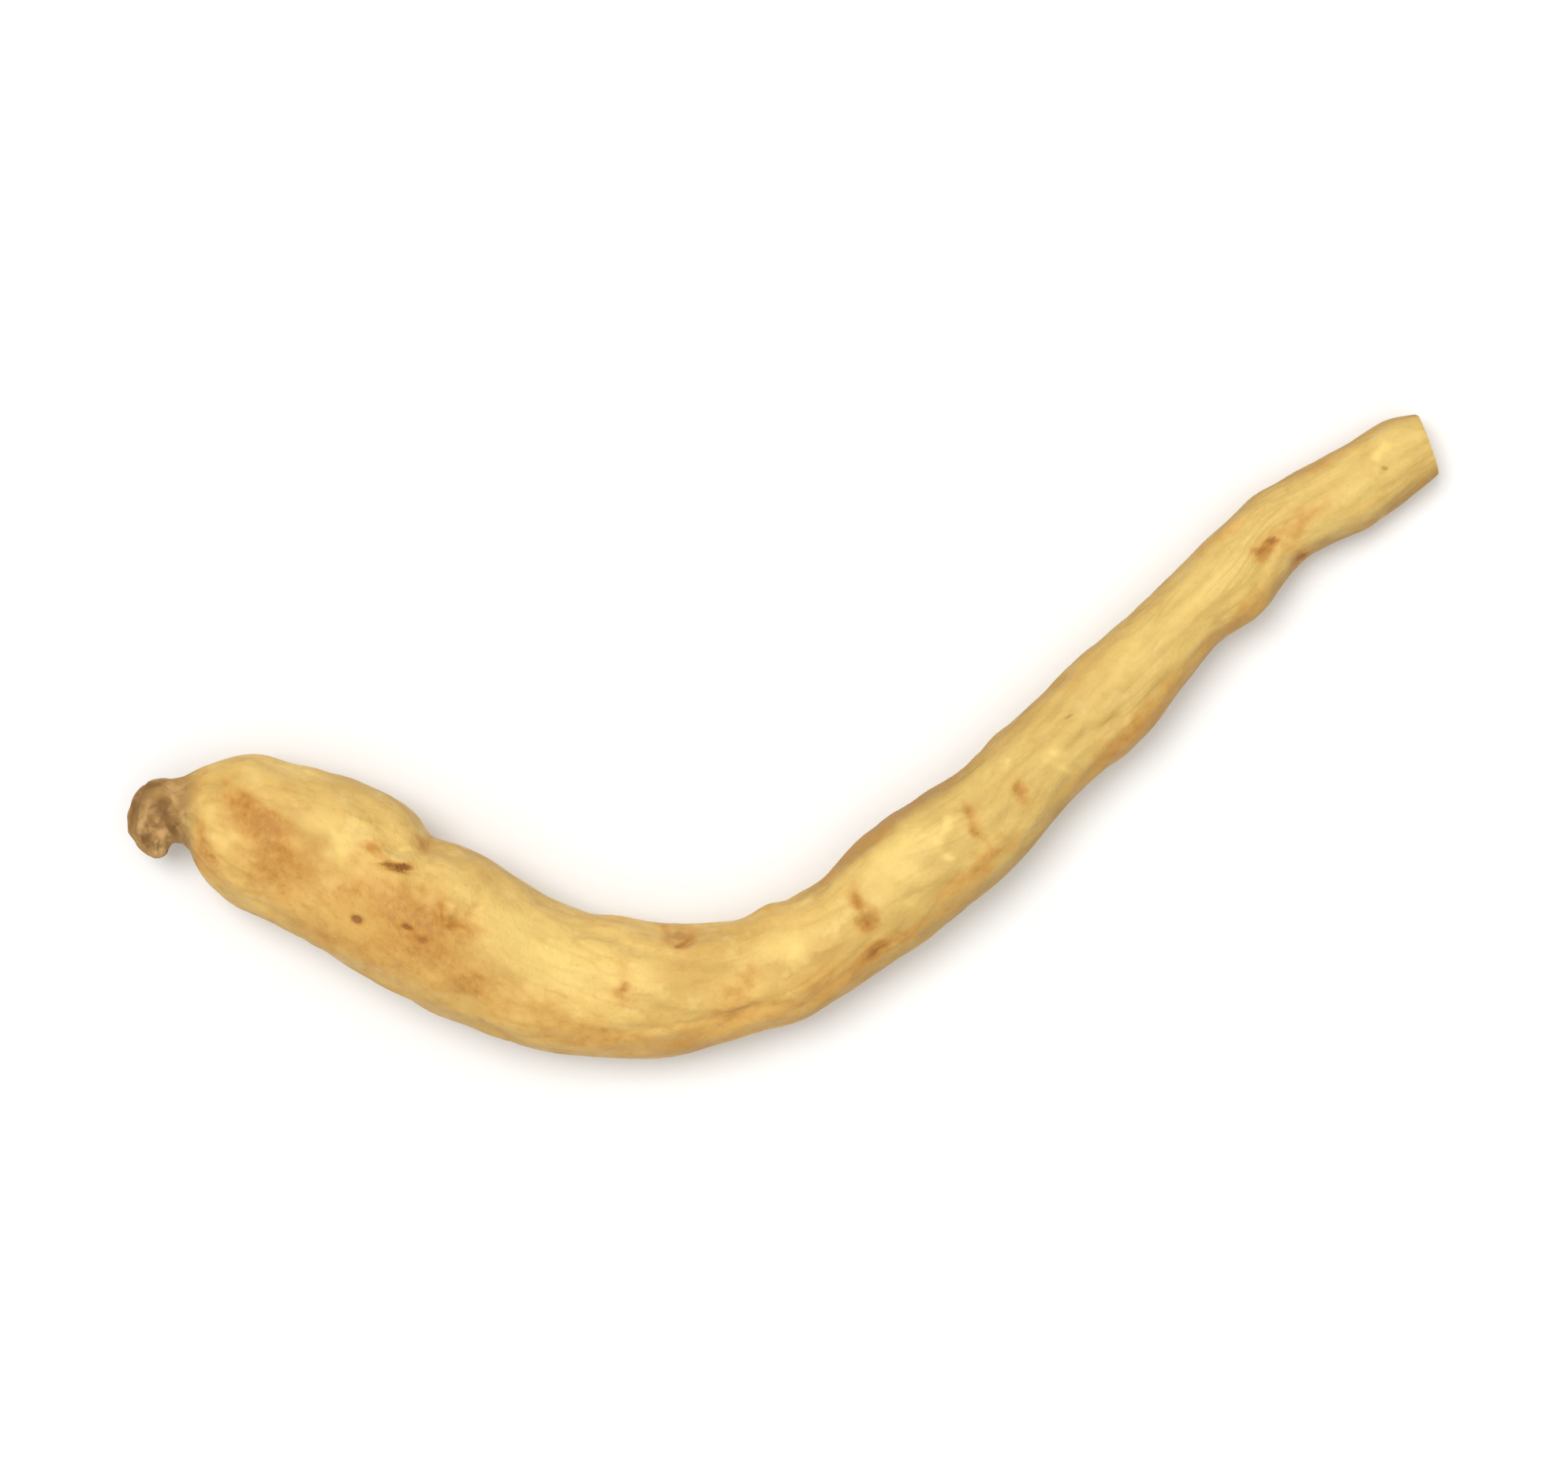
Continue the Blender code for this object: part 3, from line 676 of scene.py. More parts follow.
SCAR_STAINS = [
    (2.10, -4.76, 0.36, 0.26, -68.0, 0.8),
    (2.26, -5.06, 0.30, 0.22, -72.0, 0.5),
    (2.45, -5.64, 0.36, 0.27, -78.0, 0.85),
    (2.70, -5.30, 0.32, 0.20, -62.0, 0.5),
    (5.45, -2.13, 0.30, 0.20, -50.0, 0.42),
    (5.62, -2.50, 0.50, 0.32, -62.0, 0.38),
    (5.70, -2.88, 0.32, 0.24, -40.0, 0.6),
    (6.08, -3.22, 0.28, 0.08, -58.0, 0.35),
    (5.77, -3.55, 0.26, 0.08, 18.0, 0.35),
    (6.94, -1.57, 0.28, 0.23, -20.0, 0.65),
    (7.16, -1.84, 0.42, 0.32, -30.0, 0.42),
    (14.58, 5.78, 0.28, 0.17, 57.0, 1.0),
    (14.32, 5.47, 0.40, 0.30, 50.0, 0.75),
    (14.05, 5.53, 0.18, 0.12, 30.0, 0.35),
    (15.10, 6.28, 0.55, 0.08, 45.0, 0.35),
    (15.54, 5.35, 0.32, 0.18, 28.0, 0.95),
    # The rootlet scar's crescent: brown, partly painted shadow under its boss.
    (-9.76, -5.58, 0.38, 0.15, -8.0, 1.0),
    (-10.17, -5.30, 0.12, 0.26, 12.0, 0.75),
    (-15.92, -2.08, 0.22, 0.16, 20.0, 1.0),
    (-15.38, -2.52, 0.32, 0.19, -35.0, 0.9),
    (-16.40, -2.02, 0.26, 0.15, -60.0, 0.75),
    (-15.12, -3.00, 0.34, 0.14, -55.0, 0.4),
    (-15.05, -3.45, 0.20, 0.14, -40.0, 0.6),
    (-15.50, -4.01, 0.18, 0.12, -20.0, 0.4),
    (-16.69, -1.44, 0.15, 0.10, 50.0, 0.45),
    (-11.50, -3.90, 0.60, 0.21, -7.0, 0.95),
    (-12.30, -3.33, 0.28, 0.12, -12.0, 0.35),
    (-11.95, -3.50, 0.36, 0.07, -24.0, 0.5),
    (-11.75, -3.28, 0.70, 0.07, -4.0, 0.35),
    (-10.62, -3.24, 0.34, 0.10, 54.0, 0.5),
    (-12.67, -5.46, 0.30, 0.20, -15.0, 0.9),
    (-11.16, -5.68, 0.34, 0.20, -20.0, 0.95),
    (-10.69, -6.06, 0.28, 0.18, -10.0, 0.85),
    (-2.98, -6.18, 0.38, 0.11, 27.0, 0.8),
    (-4.80, -7.61, 0.18, 0.12, 0.0, 0.6),
    (-9.37, -7.33, 0.16, 0.13, 0.0, 0.4),
    (2.75, -6.40, 0.50, 0.22, 37.0, 1.2),
]
# Cracks and pits, brown and darkest at the bottom with painted shade in their depth: x, y, half
# length, half width, direction, darkness.
CRACKS = [
    (-11.66, -3.84, 0.32, 0.060, -8.0, 0.55),
    (-11.33, -3.89, 0.28, 0.115, -7.0, 0.84),
    (-12.68, -5.44, 0.19, 0.115, -20.0, 0.80),
    (-11.17, -5.66, 0.21, 0.085, -18.0, 0.6),
    (-10.69, -6.05, 0.16, 0.085, -12.0, 0.35),
    (-17.04, -3.59, 0.11, 0.080, 0.0, 0.30),
    (-3.02, -6.21, 0.28, 0.055, 27.0, 0.30),
    (2.12, -4.76, 0.16, 0.080, -70.0, 0.20),
    (2.46, -5.62, 0.15, 0.090, -75.0, 0.20),
    (2.64, -6.50, 0.26, 0.070, 36.0, 0.30),
    (5.45, -2.14, 0.13, 0.080, -40.0, 0.10),
    (5.71, -2.93, 0.12, 0.070, 20.0, 0.12),
    (6.93, -1.56, 0.13, 0.095, -20.0, 0.20),
    (8.52, 0.57, 0.16, 0.045, 30.0, 0.40),
    (14.63, 5.84, 0.18, 0.065, 57.0, 0.45),
    (15.53, 5.36, 0.20, 0.075, 28.0, 0.38),
    (18.02, 8.03, 0.11, 0.075, 0.0, 0.40),
]
# The stub's bark is darker in some patches and paler in others.
BARK_DARK_PATCHES = [
    (-18.60, -2.15, 0.42, 0.30, 75.0, 0.9),
    (-18.28, -2.75, 0.45, 0.18, -72.0, 0.9),
    (-19.07, -3.08, 0.20, 0.14, 60.0, 0.9),
    (-19.50, -2.35, 0.60, 0.14, 75.0, 0.8),
    (-18.85, -1.42, 0.50, 0.14, 20.0, 0.8),
    (-19.25, -1.90, 0.40, 0.14, 50.0, 0.5),
    (-18.90, -2.60, 0.30, 0.12, -60.0, 0.4),
]
BARK_LIGHT_PATCHES = [
    (-18.57, -2.96, 0.20, 0.14, 35.0, 1.0),
    (-19.20, -2.50, 0.50, 0.16, 80.0, 0.7),
    (-18.78, -3.48, 0.26, 0.16, 30.0, 0.9),
    (-18.25, -1.70, 0.40, 0.20, -70.0, 0.5),
    (-19.00, -2.05, 0.22, 0.12, 60.0, 0.4),
]
# Paler thin skin, and painted highlights where the top faces the light: on the bend, on ridges and
# on the rootlet scar's boss.
PALE_AND_HIGHLIGHT_PATCHES = [
    (-17.10, -2.35, 0.38, 0.36, 0.0, 0.7),
    (-16.75, -3.15, 0.55, 0.36, 25.0, 0.9),
    (-15.90, -1.25, 0.75, 0.30, -8.0, 0.5),
    (-13.75, -2.55, 0.95, 0.50, -28.0, 0.6),
    (-13.10, -3.20, 0.55, 0.45, 70.0, 0.85),
    (-11.20, -3.46, 0.45, 0.15, -10.0, 0.8),
    (-10.75, -2.85, 0.35, 0.20, -55.0, 0.8),
    (-9.92, -5.17, 0.24, 0.20, 0.0, 0.4),
    (-9.45, -5.30, 0.18, 0.16, 0.0, 0.6),
    (-15.90, -5.00, 1.00, 0.25, -28.0, 0.5),
    (-10.20, -7.10, 0.55, 0.30, -30.0, 0.4),
    (-7.00, -6.45, 2.00, 0.95, -33.0, 0.95),
    (-8.30, -5.40, 0.90, 0.50, -45.0, 0.3),
    (-4.80, -7.10, 1.40, 0.60, -5.0, 0.35),
    (-6.60, -8.90, 0.30, 0.14, -15.0, 0.4),
    (-1.58, -6.42, 0.25, 0.20, 0.0, 0.6),
    (0.35, -6.52, 0.42, 0.32, 20.0, 0.6),
    (0.10, -6.20, 1.60, 0.65, 28.0, 0.6),
    (2.38, -5.20, 0.15, 0.14, 0.0, 0.9),
    (3.50, -3.65, 1.70, 0.80, 42.0, 0.9),
    (3.81, -4.97, 0.32, 0.20, 30.0, 0.6),
    (4.27, -3.02, 0.28, 0.18, 10.0, 0.5),
    (4.74, -3.24, 0.30, 0.22, 40.0, 0.85),
    (4.93, -2.60, 0.28, 0.22, 20.0, 0.85),
    (6.60, -0.78, 0.22, 0.19, 0.0, 1.0),
    (8.15, -0.60, 0.50, 0.25, 20.0, 0.9),
    (8.40, -0.98, 0.30, 0.18, 10.0, 0.6),
    (10.30, 2.20, 2.30, 0.50, 46.0, 0.6),
    (12.60, 4.30, 1.20, 0.45, 45.0, 0.5),
    (15.60, 6.00, 0.60, 0.20, 35.0, 0.4),
    (18.02, 8.58, 0.55, 0.28, 30.0, 0.8),
]
# Where stains lie over one another they darken less and less: 1 - exp(-STAIN_GAIN * sum).
STAIN_GAIN = 1.3
PATCH_EDGE = {"reach": 0.10, "seed": 91}
SCAR_EDGE = {"reach": 0.045, "seed": 92}
# The tail starts past the bend, in mm along the root, and is greener than the crown. The root's
# flanks are browner, partly their own colour and partly painted shade on the sides turned from the
# light. Each flank: where it starts and is full by cos(angle) towards its own edge, its strength,
# and what the tail adds. BROWN_EDGE adds to the upper one: place, half length, strength.
TAIL_START = 24.0
TAIL_FADE = 3.0
UPPER_FLANK = (0.55, 1.0, 0.05, 1.1)
LOWER_FLANK = (0.35, 1.0, 0.9, 0.35)
BROWN_EDGE = (25.4, 2.8, 1.3)
STRONGEST_FLANK = 2.2
# The upper side's stains start and are full at these values of sin(angle). Those of the
# underside are drawn at random: where they start and are full, and their share.
STAINED_ABOVE = (-0.35, 0.25)
UNDER_BLOTCH = (0.4, 1.6, 0.6)
UNDER_BLOTCHES = {"seed": 61, "count": 16, "crests": (1, 4), "lengths": (3.0, 10.0)}
UNDER_PALE = (0.3, 1.6, 0.7)
UNDER_PALES = {"seed": 62, "count": 16, "crests": (1, 4), "lengths": (3.0, 9.0)}
# The bark's colour starts to fade and is gone at these places, in mm along the root.
BARK_COLOUR_ENDS = (STUB_LENGTH - 0.7, STUB_LENGTH + 1.0)
# On the snapped end the share of rays swings about RAY_MIDDLE by RAY_SWING of their height, and
# the ring of wood lies at this share of the radius, with this half width.
RAY_MIDDLE, RAY_SWING = 0.5, 0.4
WOOD_RING = (0.58, 0.05)


def keep_on_mesh(name, on_skin, on_cut=0.0, on_cut_middle=0.0):
    """Keeps one share for each point of the skin, the cut's rings, the tip and the cut's middle."""
    cut = np.broadcast_to(on_cut, cut_share.shape).ravel()
    shares = np.concatenate([on_skin.ravel(), cut, on_skin[0, :1], [on_cut_middle]])
    attribute = root_mesh.attributes.new(name, "FLOAT", "POINT")
    attribute.data.foreach_set("value", np.clip(shares, 0.0, 1.0).astype(np.float32))


plan_x, plan_y = skin_points[..., 0], skin_points[..., 1]
patch_places = wander(plan_x, plan_y, **PATCH_EDGE)
scar_places = wander(plan_x, plan_y, **SCAR_EDGE)
upper_side = smoothstep(*STAINED_ABOVE, np.sin(angle))
start, full, most = UNDER_BLOTCH
under_blotch = smoothstep(start, full, waves(place, angle, **UNDER_BLOTCHES)) * most
start, full, most = UNDER_PALE
under_pale = smoothstep(start, full, waves(place, angle, **UNDER_PALES)) * most
over_blotch = 1.0 - np.exp(-STAIN_GAIN * ovals(*patch_places, BLOTCHES))
blotch = over_blotch * upper_side + under_blotch * (1.0 - upper_side)
pale_and_highlight = ovals(*patch_places, PALE_AND_HIGHLIGHT_PATCHES) * upper_side + under_pale * (1.0 - upper_side)
keep_on_mesh("blotch", blotch)
keep_on_mesh("pale_and_highlight", pale_and_highlight)
keep_on_mesh("scar", ovals(*scar_places, SCAR_STAINS) * upper_side + under_scars(place, angle))
keep_on_mesh("upper_side", upper_side)

on_tail = smoothstep(TAIL_START - TAIL_FADE, TAIL_START + TAIL_FADE, place)
# The flanks' browning: partly the root's own colour, partly painted shade on its sides.
brown_place, brown_reach, brown_strength = BROWN_EDGE
brown_edge = brown_strength * np.exp(-(((place - brown_place) / brown_reach) ** 2))
start, full, strength, on_tail_too = UPPER_FLANK
flank_stain_and_shade = smoothstep(start, full, np.cos(angle)) * (strength + on_tail_too * on_tail + brown_edge)
start, full, strength, on_tail_too = LOWER_FLANK
flank_stain_and_shade += smoothstep(start, full, -np.cos(angle)) * (strength + on_tail_too * on_tail)
keep_on_mesh("flank_stain_and_shade", flank_stain_and_shade / STRONGEST_FLANK)
keep_on_mesh("tail", on_tail)
keep_on_mesh("crease_shade", crease_shade)
keep_on_mesh("stub", 1.0 - smoothstep(*BARK_COLOUR_ENDS, place))
keep_on_mesh("bark_dark", ovals(*scar_places, BARK_DARK_PATCHES) * upper_side)
keep_on_mesh("bark_light", ovals(*scar_places, BARK_LIGHT_PATCHES) * upper_side)
keep_on_mesh("into_cut", np.zeros_like(place), 1.0 - cut_share, 1.0)
keep_on_mesh("rays", np.zeros_like(place), RAY_MIDDLE + RAY_SWING * rays, RAY_MIDDLE)
wood_place, wood_width = WOOD_RING
wood = np.exp(-(((cut_share - wood_place) / wood_width) ** 2))
keep_on_mesh("wood_ring", np.zeros_like(place), wood)

# Where each point would lie if the root were straight: along it, and round a circle in mm.
# Patterns that follow the root read this, so they have no seam.
radius = ribs_at(place)[..., 4]
straight = np.stack([place, radius * np.cos(angle), radius * np.sin(angle)], axis=-1)
cut_radius = radius[-1] * cut_share
cut_straight = np.stack(
    [root_length + 1.0 - cut_share, cut_radius * np.cos(cut_angle), cut_radius * np.sin(cut_angle)],
    axis=-1,
)
straight_points = np.concatenate(
    [
        straight.reshape(-1, 3),
        cut_straight.reshape(-1, 3),
        [[0.0, 0.0, 0.0], [root_length + 1.0, 0.0, 0.0]],
    ]
)
straight_attribute = root_mesh.attributes.new("straight", "FLOAT_VECTOR", "POINT")
straight_attribute.data.foreach_set("vector", straight_points.astype(np.float32).ravel())


# Dried root skin: the thin cork of a starchy root, washed, scalded and dried in the sun. That
# gives a half matt surface with a faint waxy gleam, mottled like old ivory, which lets a little
# light into the starch below.


def linear(code):
    """An sRGB colour code as linear red, green, blue and alpha, by the sRGB curve."""
    channels = np.array([int(code[i : i + 2], 16) for i in (1, 3, 5)]) / 255.0
    light = np.where(
        channels <= 0.04045, channels / 12.92, ((channels + 0.055) / 1.055) ** 2.4
    )
    return (*light, 1.0)


def add_node(tree, kind, settings=None, inputs=None):
    """Adds a node. Settings are its properties; each input is a value or another node's output."""
    node = tree.nodes.new(kind)
    for name, value in (settings or {}).items():
        setattr(node, name, value)
    for name, value in (inputs or {}).items():
        if isinstance(value, bpy.types.NodeSocket):
            tree.links.new(value, node.inputs[name])
        else:
            node.inputs[name].default_value = value
    return node


skin_material = bpy.data.materials.new("dried_root_skin")
skin_material.use_nodes = True
tree = skin_material.node_tree
shader = tree.nodes["Principled BSDF"]

SHARES = [
    "blotch", "pale_and_highlight", "scar", "upper_side", "flank_stain_and_shade", "tail", "crease_shade", "stub",
    "bark_dark", "bark_light", "into_cut", "rays", "wood_ring",
]
sources = {
    name: add_node(tree, "ShaderNodeAttribute", {"attribute_name": name}).outputs["Fac"]
    for name in SHARES
}
straight_place = add_node(tree, "ShaderNodeAttribute", {"attribute_name": "straight"})

# Patterns: width of a grain in mm, how many times as long along the root, detail, roughness.
# Clouds are how evenly the root dried, mottle is patches of thicker cork, and grains are its
# scurf. Cork cells are 0.03 mm and fibres 0.02 mm wide, too fine to show, so speckle, pores and
# fibres are drawn five to ten times as coarse.
PATTERNS = {
    "clouds": (3.2, 1.5, 3.0, 0.55),
    "mottle": (0.75, 1.25, 4.0, 0.58),
    "grains": (0.32, 1.15, 4.0, 0.62),
    "speckle": (0.17, 1.0, 3.0, 0.60),
    "pores": (0.10, 1.0, 2.0, 0.50),
    "fibres": (0.22, 8.0, 3.0, 0.55),
}
for name, (width, stretch, detail, roughness) in PATTERNS.items():
    laid_along = add_node(
        tree,
        "ShaderNodeMapping",
        inputs={
            "Vector": straight_place.outputs["Vector"],
            "Scale": (1.0 / (stretch * width), 1.0 / width, 1.0 / width),
        },
    )
    sources[name] = add_node(
        tree,
        "ShaderNodeTexNoise",
        inputs={
            "Vector": laid_along.outputs["Vector"],
            "Scale": 1.0,
            "Detail": detail,
            "Roughness": roughness,
        },
    ).outputs["Fac"]

# Layers of colour: a share, a pattern or the two multiplied, where the layer starts and where it
# is full, how much of it there is then, and its colour.
SKIN_COLOUR = "#c59f55"
SKIN_LAYERS = [
    (None, "clouds", 0.36, 0.60, 1.00, "#d5b265"),
    (None, "mottle", 0.50, 0.70, 0.42, "#b98d45"),
    (None, "mottle", 0.47, 0.30, 0.42, "#dfc477"),
    (None, "grains", 0.54, 0.72, 0.34, "#b08843"),
    (None, "speckle", 0.60, 0.74, 0.24, "#a0783a"),
    (None, "fibres", 0.54, 0.72, 0.14, "#a98342"),
    ("tail", None, 0.0, 1.0, 0.42, "#c9b166"),
    # Painted shade in the creases.
    ("crease_shade", None, 0.0, 1.0, 0.24, "#9e7738"),
    # Browner flanks: partly the root's own colour, partly painted shade on sides turned from the
    # light.
    ("flank_stain_and_shade", None, 0.0, 1.0, 0.80, "#9f763c"),
    ("flank_stain_and_shade", "mottle", 0.12, 0.45, 0.35, "#8a602a"),
    # Paler thin skin and painted highlights.
    ("pale_and_highlight", "mottle", 0.0, 0.65, 0.75, "#e5c876"),
    ("blotch", None, 0.0, 1.1, 0.78, "#c48c3c"),
    ("blotch", "mottle", 0.05, 0.75, 0.34, "#b07a2e"),
    ("blotch", "grains", 0.15, 0.70, 0.50, "#9a6220"),
    ("blotch", "speckle", 0.25, 0.70, 0.45, "#85541d"),
    ("scar", None, 0.0, 1.15, 0.86, "#bd8636"),
    ("scar", "grains", 0.08, 0.65, 0.70, "#946020"),
]
BARK_COLOUR = "#8a683a"
BARK_LAYERS = [
    (None, "mottle", 0.38, 0.60, 1.00, "#a58149"),
    (None, "grains", 0.46, 0.66, 0.55, "#ba9460"),
    (None, "speckle", 0.52, 0.72, 0.40, "#6d4d29"),
    # Painted shade in the bark's cracks.
    ("crease_shade", None, 0.2, 1.0, 0.30, "#5f4324"),
    ("bark_light", "mottle", 0.05, 0.42, 0.65, "#cda36c"),
    ("bark_dark", "mottle", 0.05, 0.45, 0.80, "#6e4a24"),
]
PITH_COLOUR = "#ead3a0"
PITH_LAYERS = [
    (None, "speckle", 0.42, 0.62, 0.60, "#f5e6c2"),
    (None, "pores", 0.56, 0.72, 0.45, "#cfae74"),
    ("rays", None, 0.45, 0.95, 0.35, "#d2b07a"),
    ("wood_ring", "grains", 0.05, 0.50, 0.60, "#c29c5c"),
]
FIRST_COLOUR, SECOND_COLOUR, MIXED_COLOUR = 6, 7, 2

finishes = []
for base, layers in (
    (SKIN_COLOUR, SKIN_LAYERS),
    (BARK_COLOUR, BARK_LAYERS),
    (PITH_COLOUR, PITH_LAYERS),
):
    colour = linear(base)
    for share, pattern, start, full, most, code in layers:
        amount = sources[share or pattern]
        if share and pattern:
            both = {0: sources[share], 1: sources[pattern]}
            amount = add_node(tree, "ShaderNodeMath", {"operation": "MULTIPLY"}, both)
            amount = amount.outputs["Value"]
        spread = add_node(
            tree,
            "ShaderNodeMapRange",
            {"interpolation_type": "SMOOTHSTEP"},
            {"Value": amount, "From Min": start, "From Max": full, "To Min": 0.0, "To Max": most},
        )
        mixed = add_node(
            tree,
            "ShaderNodeMix",
            {"data_type": "RGBA"},
            {
                "Factor": spread.outputs["Result"],
                FIRST_COLOUR: colour,
                SECOND_COLOUR: linear(code),
            },
        )
        colour = mixed.outputs[MIXED_COLOUR]
    finishes.append(colour)
skin_colour, bark_colour, pith_colour = finishes

# Cracks are ovals in the plan of the root, painted dark brown with painted shade in their depth.
# A fine pattern, SHAKE_WIDTH mm wide, shakes their edges by up to half of SHAKE_REACH.
CRACK_SHADE_COLOUR = "#7c4a16"
SHAKE_WIDTH = 0.18
SHAKE_REACH = 0.11 * MM
# Shares of a crack's half size where its darkness starts and is full.
CRACK_START, CRACK_FULL = 1.35, 0.55
shaking = add_node(
    tree,
    "ShaderNodeTexNoise",
    inputs={
        "Vector": straight_place.outputs["Vector"],
        "Scale": 1.0 / SHAKE_WIDTH,
        "Detail": 2.0,
    },
)
flat_place = add_node(tree, "ShaderNodeTexCoord")
shaken = add_node(
    tree,
    "ShaderNodeVectorMath",
    {"operation": "MULTIPLY_ADD"},
    {0: shaking.outputs["Color"], 1: (SHAKE_REACH,) * 3, 2: flat_place.outputs["Object"]},
)
dark = 0.0
for x, y, half_length, half_width, direction, darkness in CRACKS:
    oval = add_node(
        tree,
        "ShaderNodeMapping",
        {"vector_type": "TEXTURE"},
        {
            "Vector": shaken.outputs["Vector"],
            "Location": (x * MM + SHAKE_REACH / 2.0, y * MM + SHAKE_REACH / 2.0, 0.0),
            "Rotation": (0.0, 0.0, np.radians(direction)),
            "Scale": (half_length * MM, half_width * MM, 1.0),
        },
    )
    off_middle = add_node(
        tree, "ShaderNodeVectorMath", {"operation": "LENGTH"}, {0: oval.outputs["Vector"]}
    )
    inside = add_node(
        tree,
        "ShaderNodeMapRange",
        {"interpolation_type": "SMOOTHSTEP"},
        {
            "Value": off_middle.outputs["Value"],
            "From Min": CRACK_START,
            "From Max": CRACK_FULL,
            "To Min": 0.0,
            "To Max": darkness,
        },
    )
    either = {0: dark, 1: inside.outputs["Result"]}
    dark = add_node(tree, "ShaderNodeMath", {"operation": "MAXIMUM"}, either).outputs["Value"]
crack_shade = add_node(
    tree, "ShaderNodeMath", {"operation": "MULTIPLY"}, {0: dark, 1: sources["upper_side"]}
)

# The bark thins out over the crown in an edge that the mottle makes uneven, and the pith starts
# just inside the rim. Each pair is where it starts and where it is full.
EDGE_UNEVENNESS = 0.9
BARK_START, BARK_FULL = 0.65, 1.35
PITH_START, PITH_FULL = 0.02, 0.09
bark_edge = add_node(
    tree,
    "ShaderNodeMath",
    {"operation": "MULTIPLY_ADD"},
    {0: sources["mottle"], 1: EDGE_UNEVENNESS, 2: sources["stub"]},
)
bark_share = add_node(
    tree,
    "ShaderNodeMapRange",
    {"interpolation_type": "SMOOTHSTEP"},
    {"Value": bark_edge.outputs["Value"], "From Min": BARK_START, "From Max": BARK_FULL},
)
pith_share = add_node(
    tree,
    "ShaderNodeMapRange",
    {"interpolation_type": "SMOOTHSTEP"},
    {"Value": sources["into_cut"], "From Min": PITH_START, "From Max": PITH_FULL},
)
colour = skin_colour
for share, over in (
    (crack_shade.outputs["Value"], linear(CRACK_SHADE_COLOUR)),
    (bark_share.outputs["Result"], bark_colour),
    (pith_share.outputs["Result"], pith_colour),
):
    mixed = add_node(
        tree,
        "ShaderNodeMix",
        {"data_type": "RGBA"},
        {"Factor": share, FIRST_COLOUR: colour, SECOND_COLOUR: over},
    )
    colour = mixed.outputs[MIXED_COLOUR]
tree.links.new(colour, shader.inputs["Base Color"])

# The skin gleams most where its cork is thin, by the mottle. Bark is duller by BARK_DULLNESS.
THIN_CORK, THICK_CORK = 0.3, 0.7
THIN_ROUGHNESS, THICK_ROUGHNESS = 0.50, 0.66
BARK_DULLNESS = 0.30
dullness = add_node(
    tree,
    "ShaderNodeMapRange",
    {"interpolation_type": "SMOOTHSTEP"},
    {
        "Value": sources["mottle"],
        "From Min": THIN_CORK,
        "From Max": THICK_CORK,
        "To Min": THIN_ROUGHNESS,
        "To Max": THICK_ROUGHNESS,
    },
)
rough = add_node(
    tree,
    "ShaderNodeMath",
    {"operation": "MULTIPLY_ADD", "use_clamp": True},
    {0: sources["stub"], 1: BARK_DULLNESS, 2: dullness.outputs["Result"]},
)
tree.links.new(rough.outputs["Value"], shader.inputs["Roughness"])

# Scurf, pores and fibres as fine bumps, each by its share of GRAIN_DEPTH.
GRAIN_DEPTH = 0.022 * MM
GRAIN_STRENGTH = 0.8
GRAIN_SHARES = {"grains": 1.0, "speckle": 1.1, "pores": 0.8, "fibres": 0.9}
height = 0.0
for name, part in GRAIN_SHARES.items():
    summed = {0: sources[name], 1: part, 2: height}
    height = add_node(tree, "ShaderNodeMath", {"operation": "MULTIPLY_ADD"}, summed)
    height = height.outputs["Value"]
bumps = add_node(
    tree,
    "ShaderNodeBump",
    inputs={"Height": height, "Distance": GRAIN_DEPTH, "Strength": GRAIN_STRENGTH},
)
tree.links.new(bumps.outputs["Normal"], shader.inputs["Normal"])

shader.inputs["IOR"].default_value = 1.45
shader.inputs["Specular IOR Level"].default_value = 0.35
shader.inputs["Subsurface Weight"].default_value = 0.1
shader.inputs["Subsurface Radius"].default_value = (1.0, 0.62, 0.28)
shader.inputs["Subsurface Scale"].default_value = 0.7 * MM

root_mesh.materials.append(skin_material)
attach(root_skin, "root")
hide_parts("pseudostellaria_root")


# The table
# A plain sheet of matt white paper, rolled smooth, which has no gleam and no pattern. It is as
# bright as in the photograph and so wide that no view meets its edge.

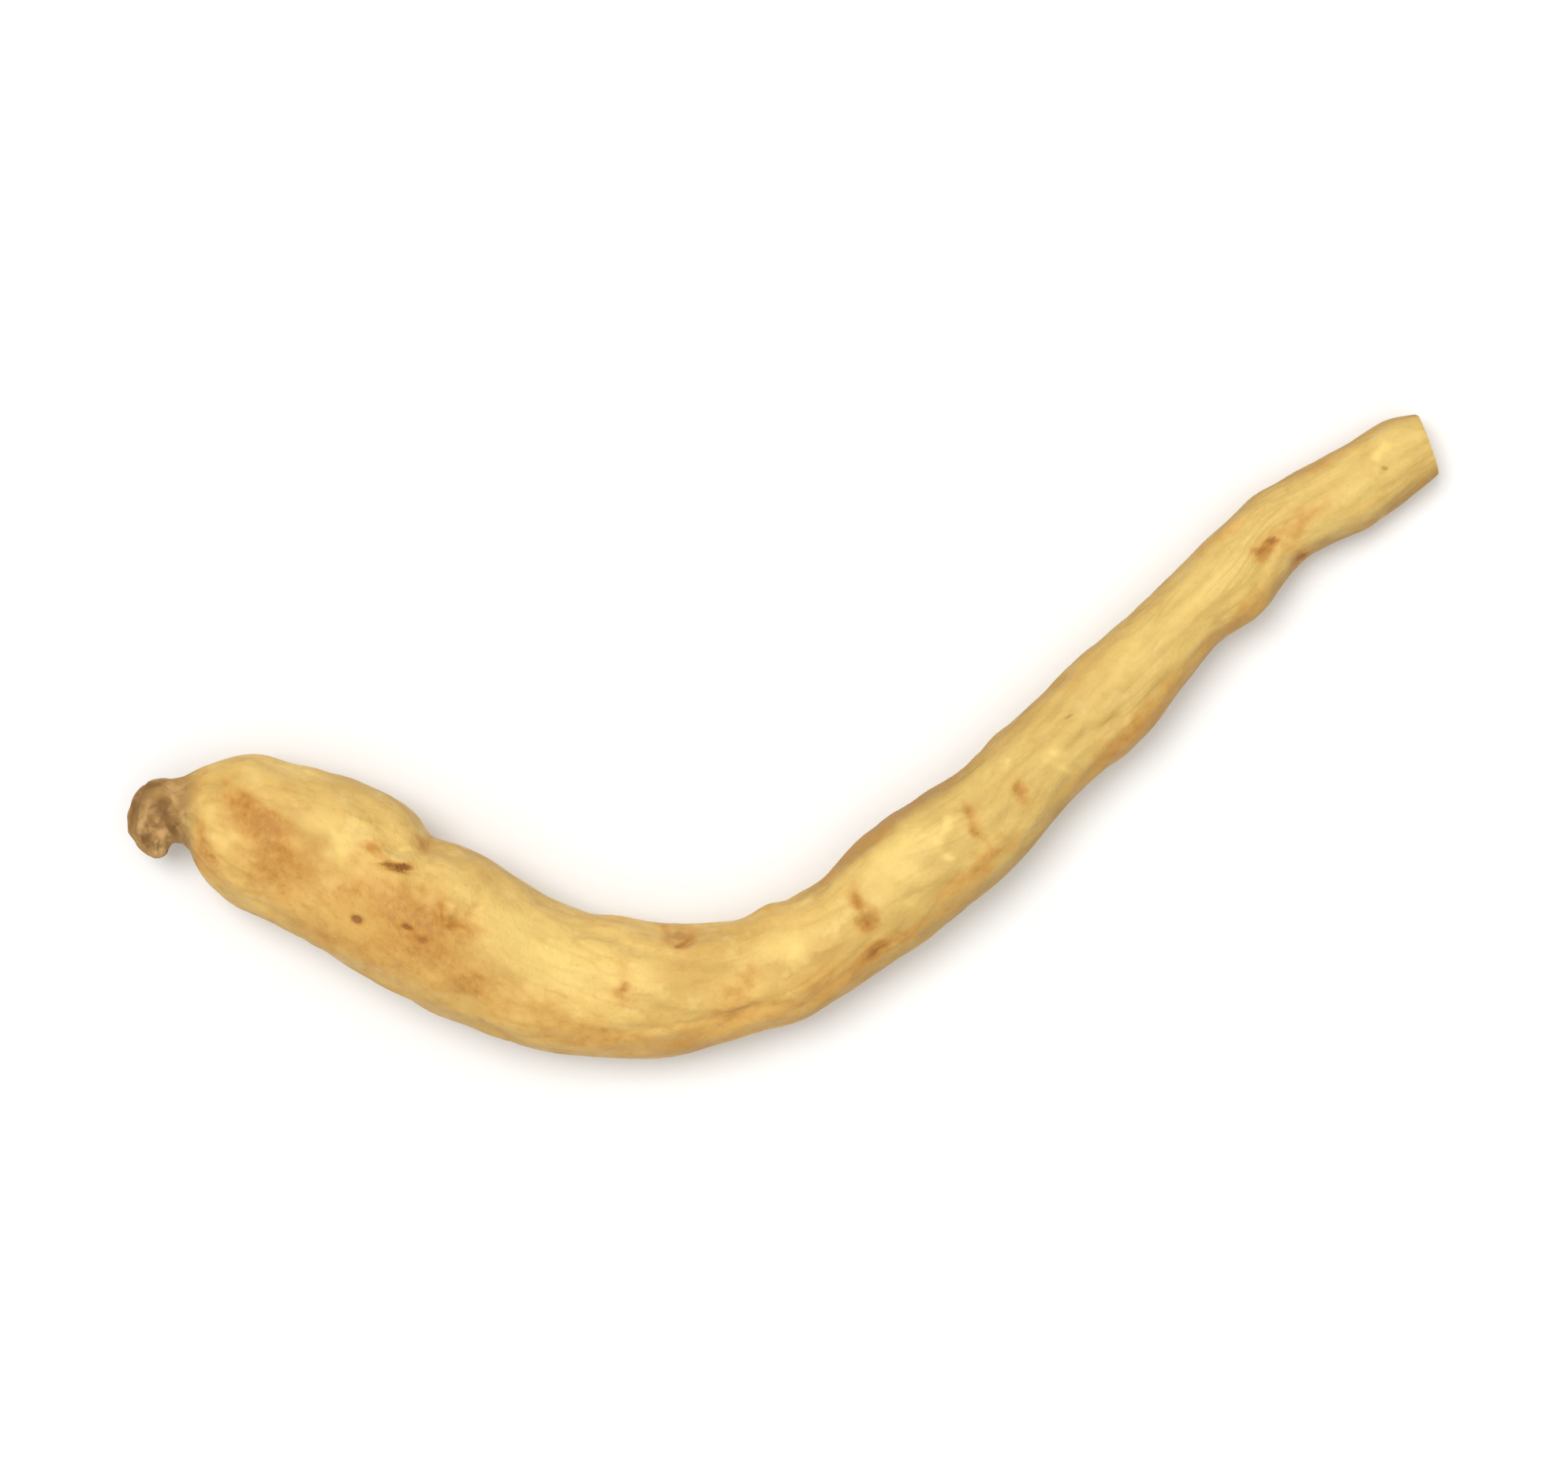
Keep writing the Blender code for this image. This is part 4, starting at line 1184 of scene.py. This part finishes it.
# Half its width, in metres.
TABLE_HALF = 3.0
table_mesh = bpy.data.meshes.new("table")
table_mesh.from_pydata(
    [
        (-TABLE_HALF, -TABLE_HALF, 0.0),
        (TABLE_HALF, -TABLE_HALF, 0.0),
        (TABLE_HALF, TABLE_HALF, 0.0),
        (-TABLE_HALF, TABLE_HALF, 0.0),
    ],
    [],
    [(0, 1, 2, 3)],
)
table = bpy.data.objects.new("table", table_mesh)
bpy.context.scene.collection.objects.link(table)
paper = bpy.data.materials.new("matt_white_paper")
paper.use_nodes = True
paper_shader = paper.node_tree.nodes["Principled BSDF"]
paper_shader.inputs["Base Color"].default_value = linear("#e5e4e3")
paper_shader.inputs["Roughness"].default_value = 0.9
table_mesh.materials.append(paper)


# The light
# A bright room whose ceiling is the main light, with one soft lamp high up on the left, so that
# shadows are faint and fall to the right. The exposure leaves the table pure white.

# The lamp's tilt off straight down, its direction and how wide it looks, in degrees.
LAMP_TILT = 20.0
LAMP_DIRECTION = 142.0
LAMP_WIDTH = 30.0
LAMP_STRENGTH = 1.5
ROOM_BRIGHTNESS = 1.75
# Brightness of the room by height: white at the horizon, dim walls, a bright ceiling.
ROOM_HEIGHTS = [(0.0, 0.62), (0.07, 0.62), (0.16, 0.1), (0.6, 0.4), (1.0, 1.0)]

lamp = bpy.data.objects.new("lamp", bpy.data.lights.new("lamp", "SUN"))
lamp.data.energy = LAMP_STRENGTH
lamp.data.angle = np.radians(LAMP_WIDTH)
lamp.rotation_euler = (0.0, np.radians(LAMP_TILT), np.radians(LAMP_DIRECTION))
bpy.context.scene.collection.objects.link(lamp)

room = bpy.data.worlds.new("room")
bpy.context.scene.world = room
room.use_nodes = True
background = room.node_tree.nodes["Background"]
direction = add_node(room.node_tree, "ShaderNodeTexCoord").outputs["Generated"]
split = add_node(room.node_tree, "ShaderNodeSeparateXYZ", inputs={"Vector": direction})
walls = add_node(room.node_tree, "ShaderNodeValToRGB", inputs={"Fac": split.outputs["Z"]})
for _ in ROOM_HEIGHTS[2:]:
    walls.color_ramp.elements.new(0.5)
for element, (level, brightness) in zip(walls.color_ramp.elements, ROOM_HEIGHTS):
    element.position = level
    element.color = (brightness, brightness, brightness, 1.0)
room.node_tree.links.new(walls.outputs["Color"], background.inputs["Color"])
background.inputs["Strength"].default_value = ROOM_BRIGHTNESS
bpy.context.scene.view_settings.view_transform = "Standard"
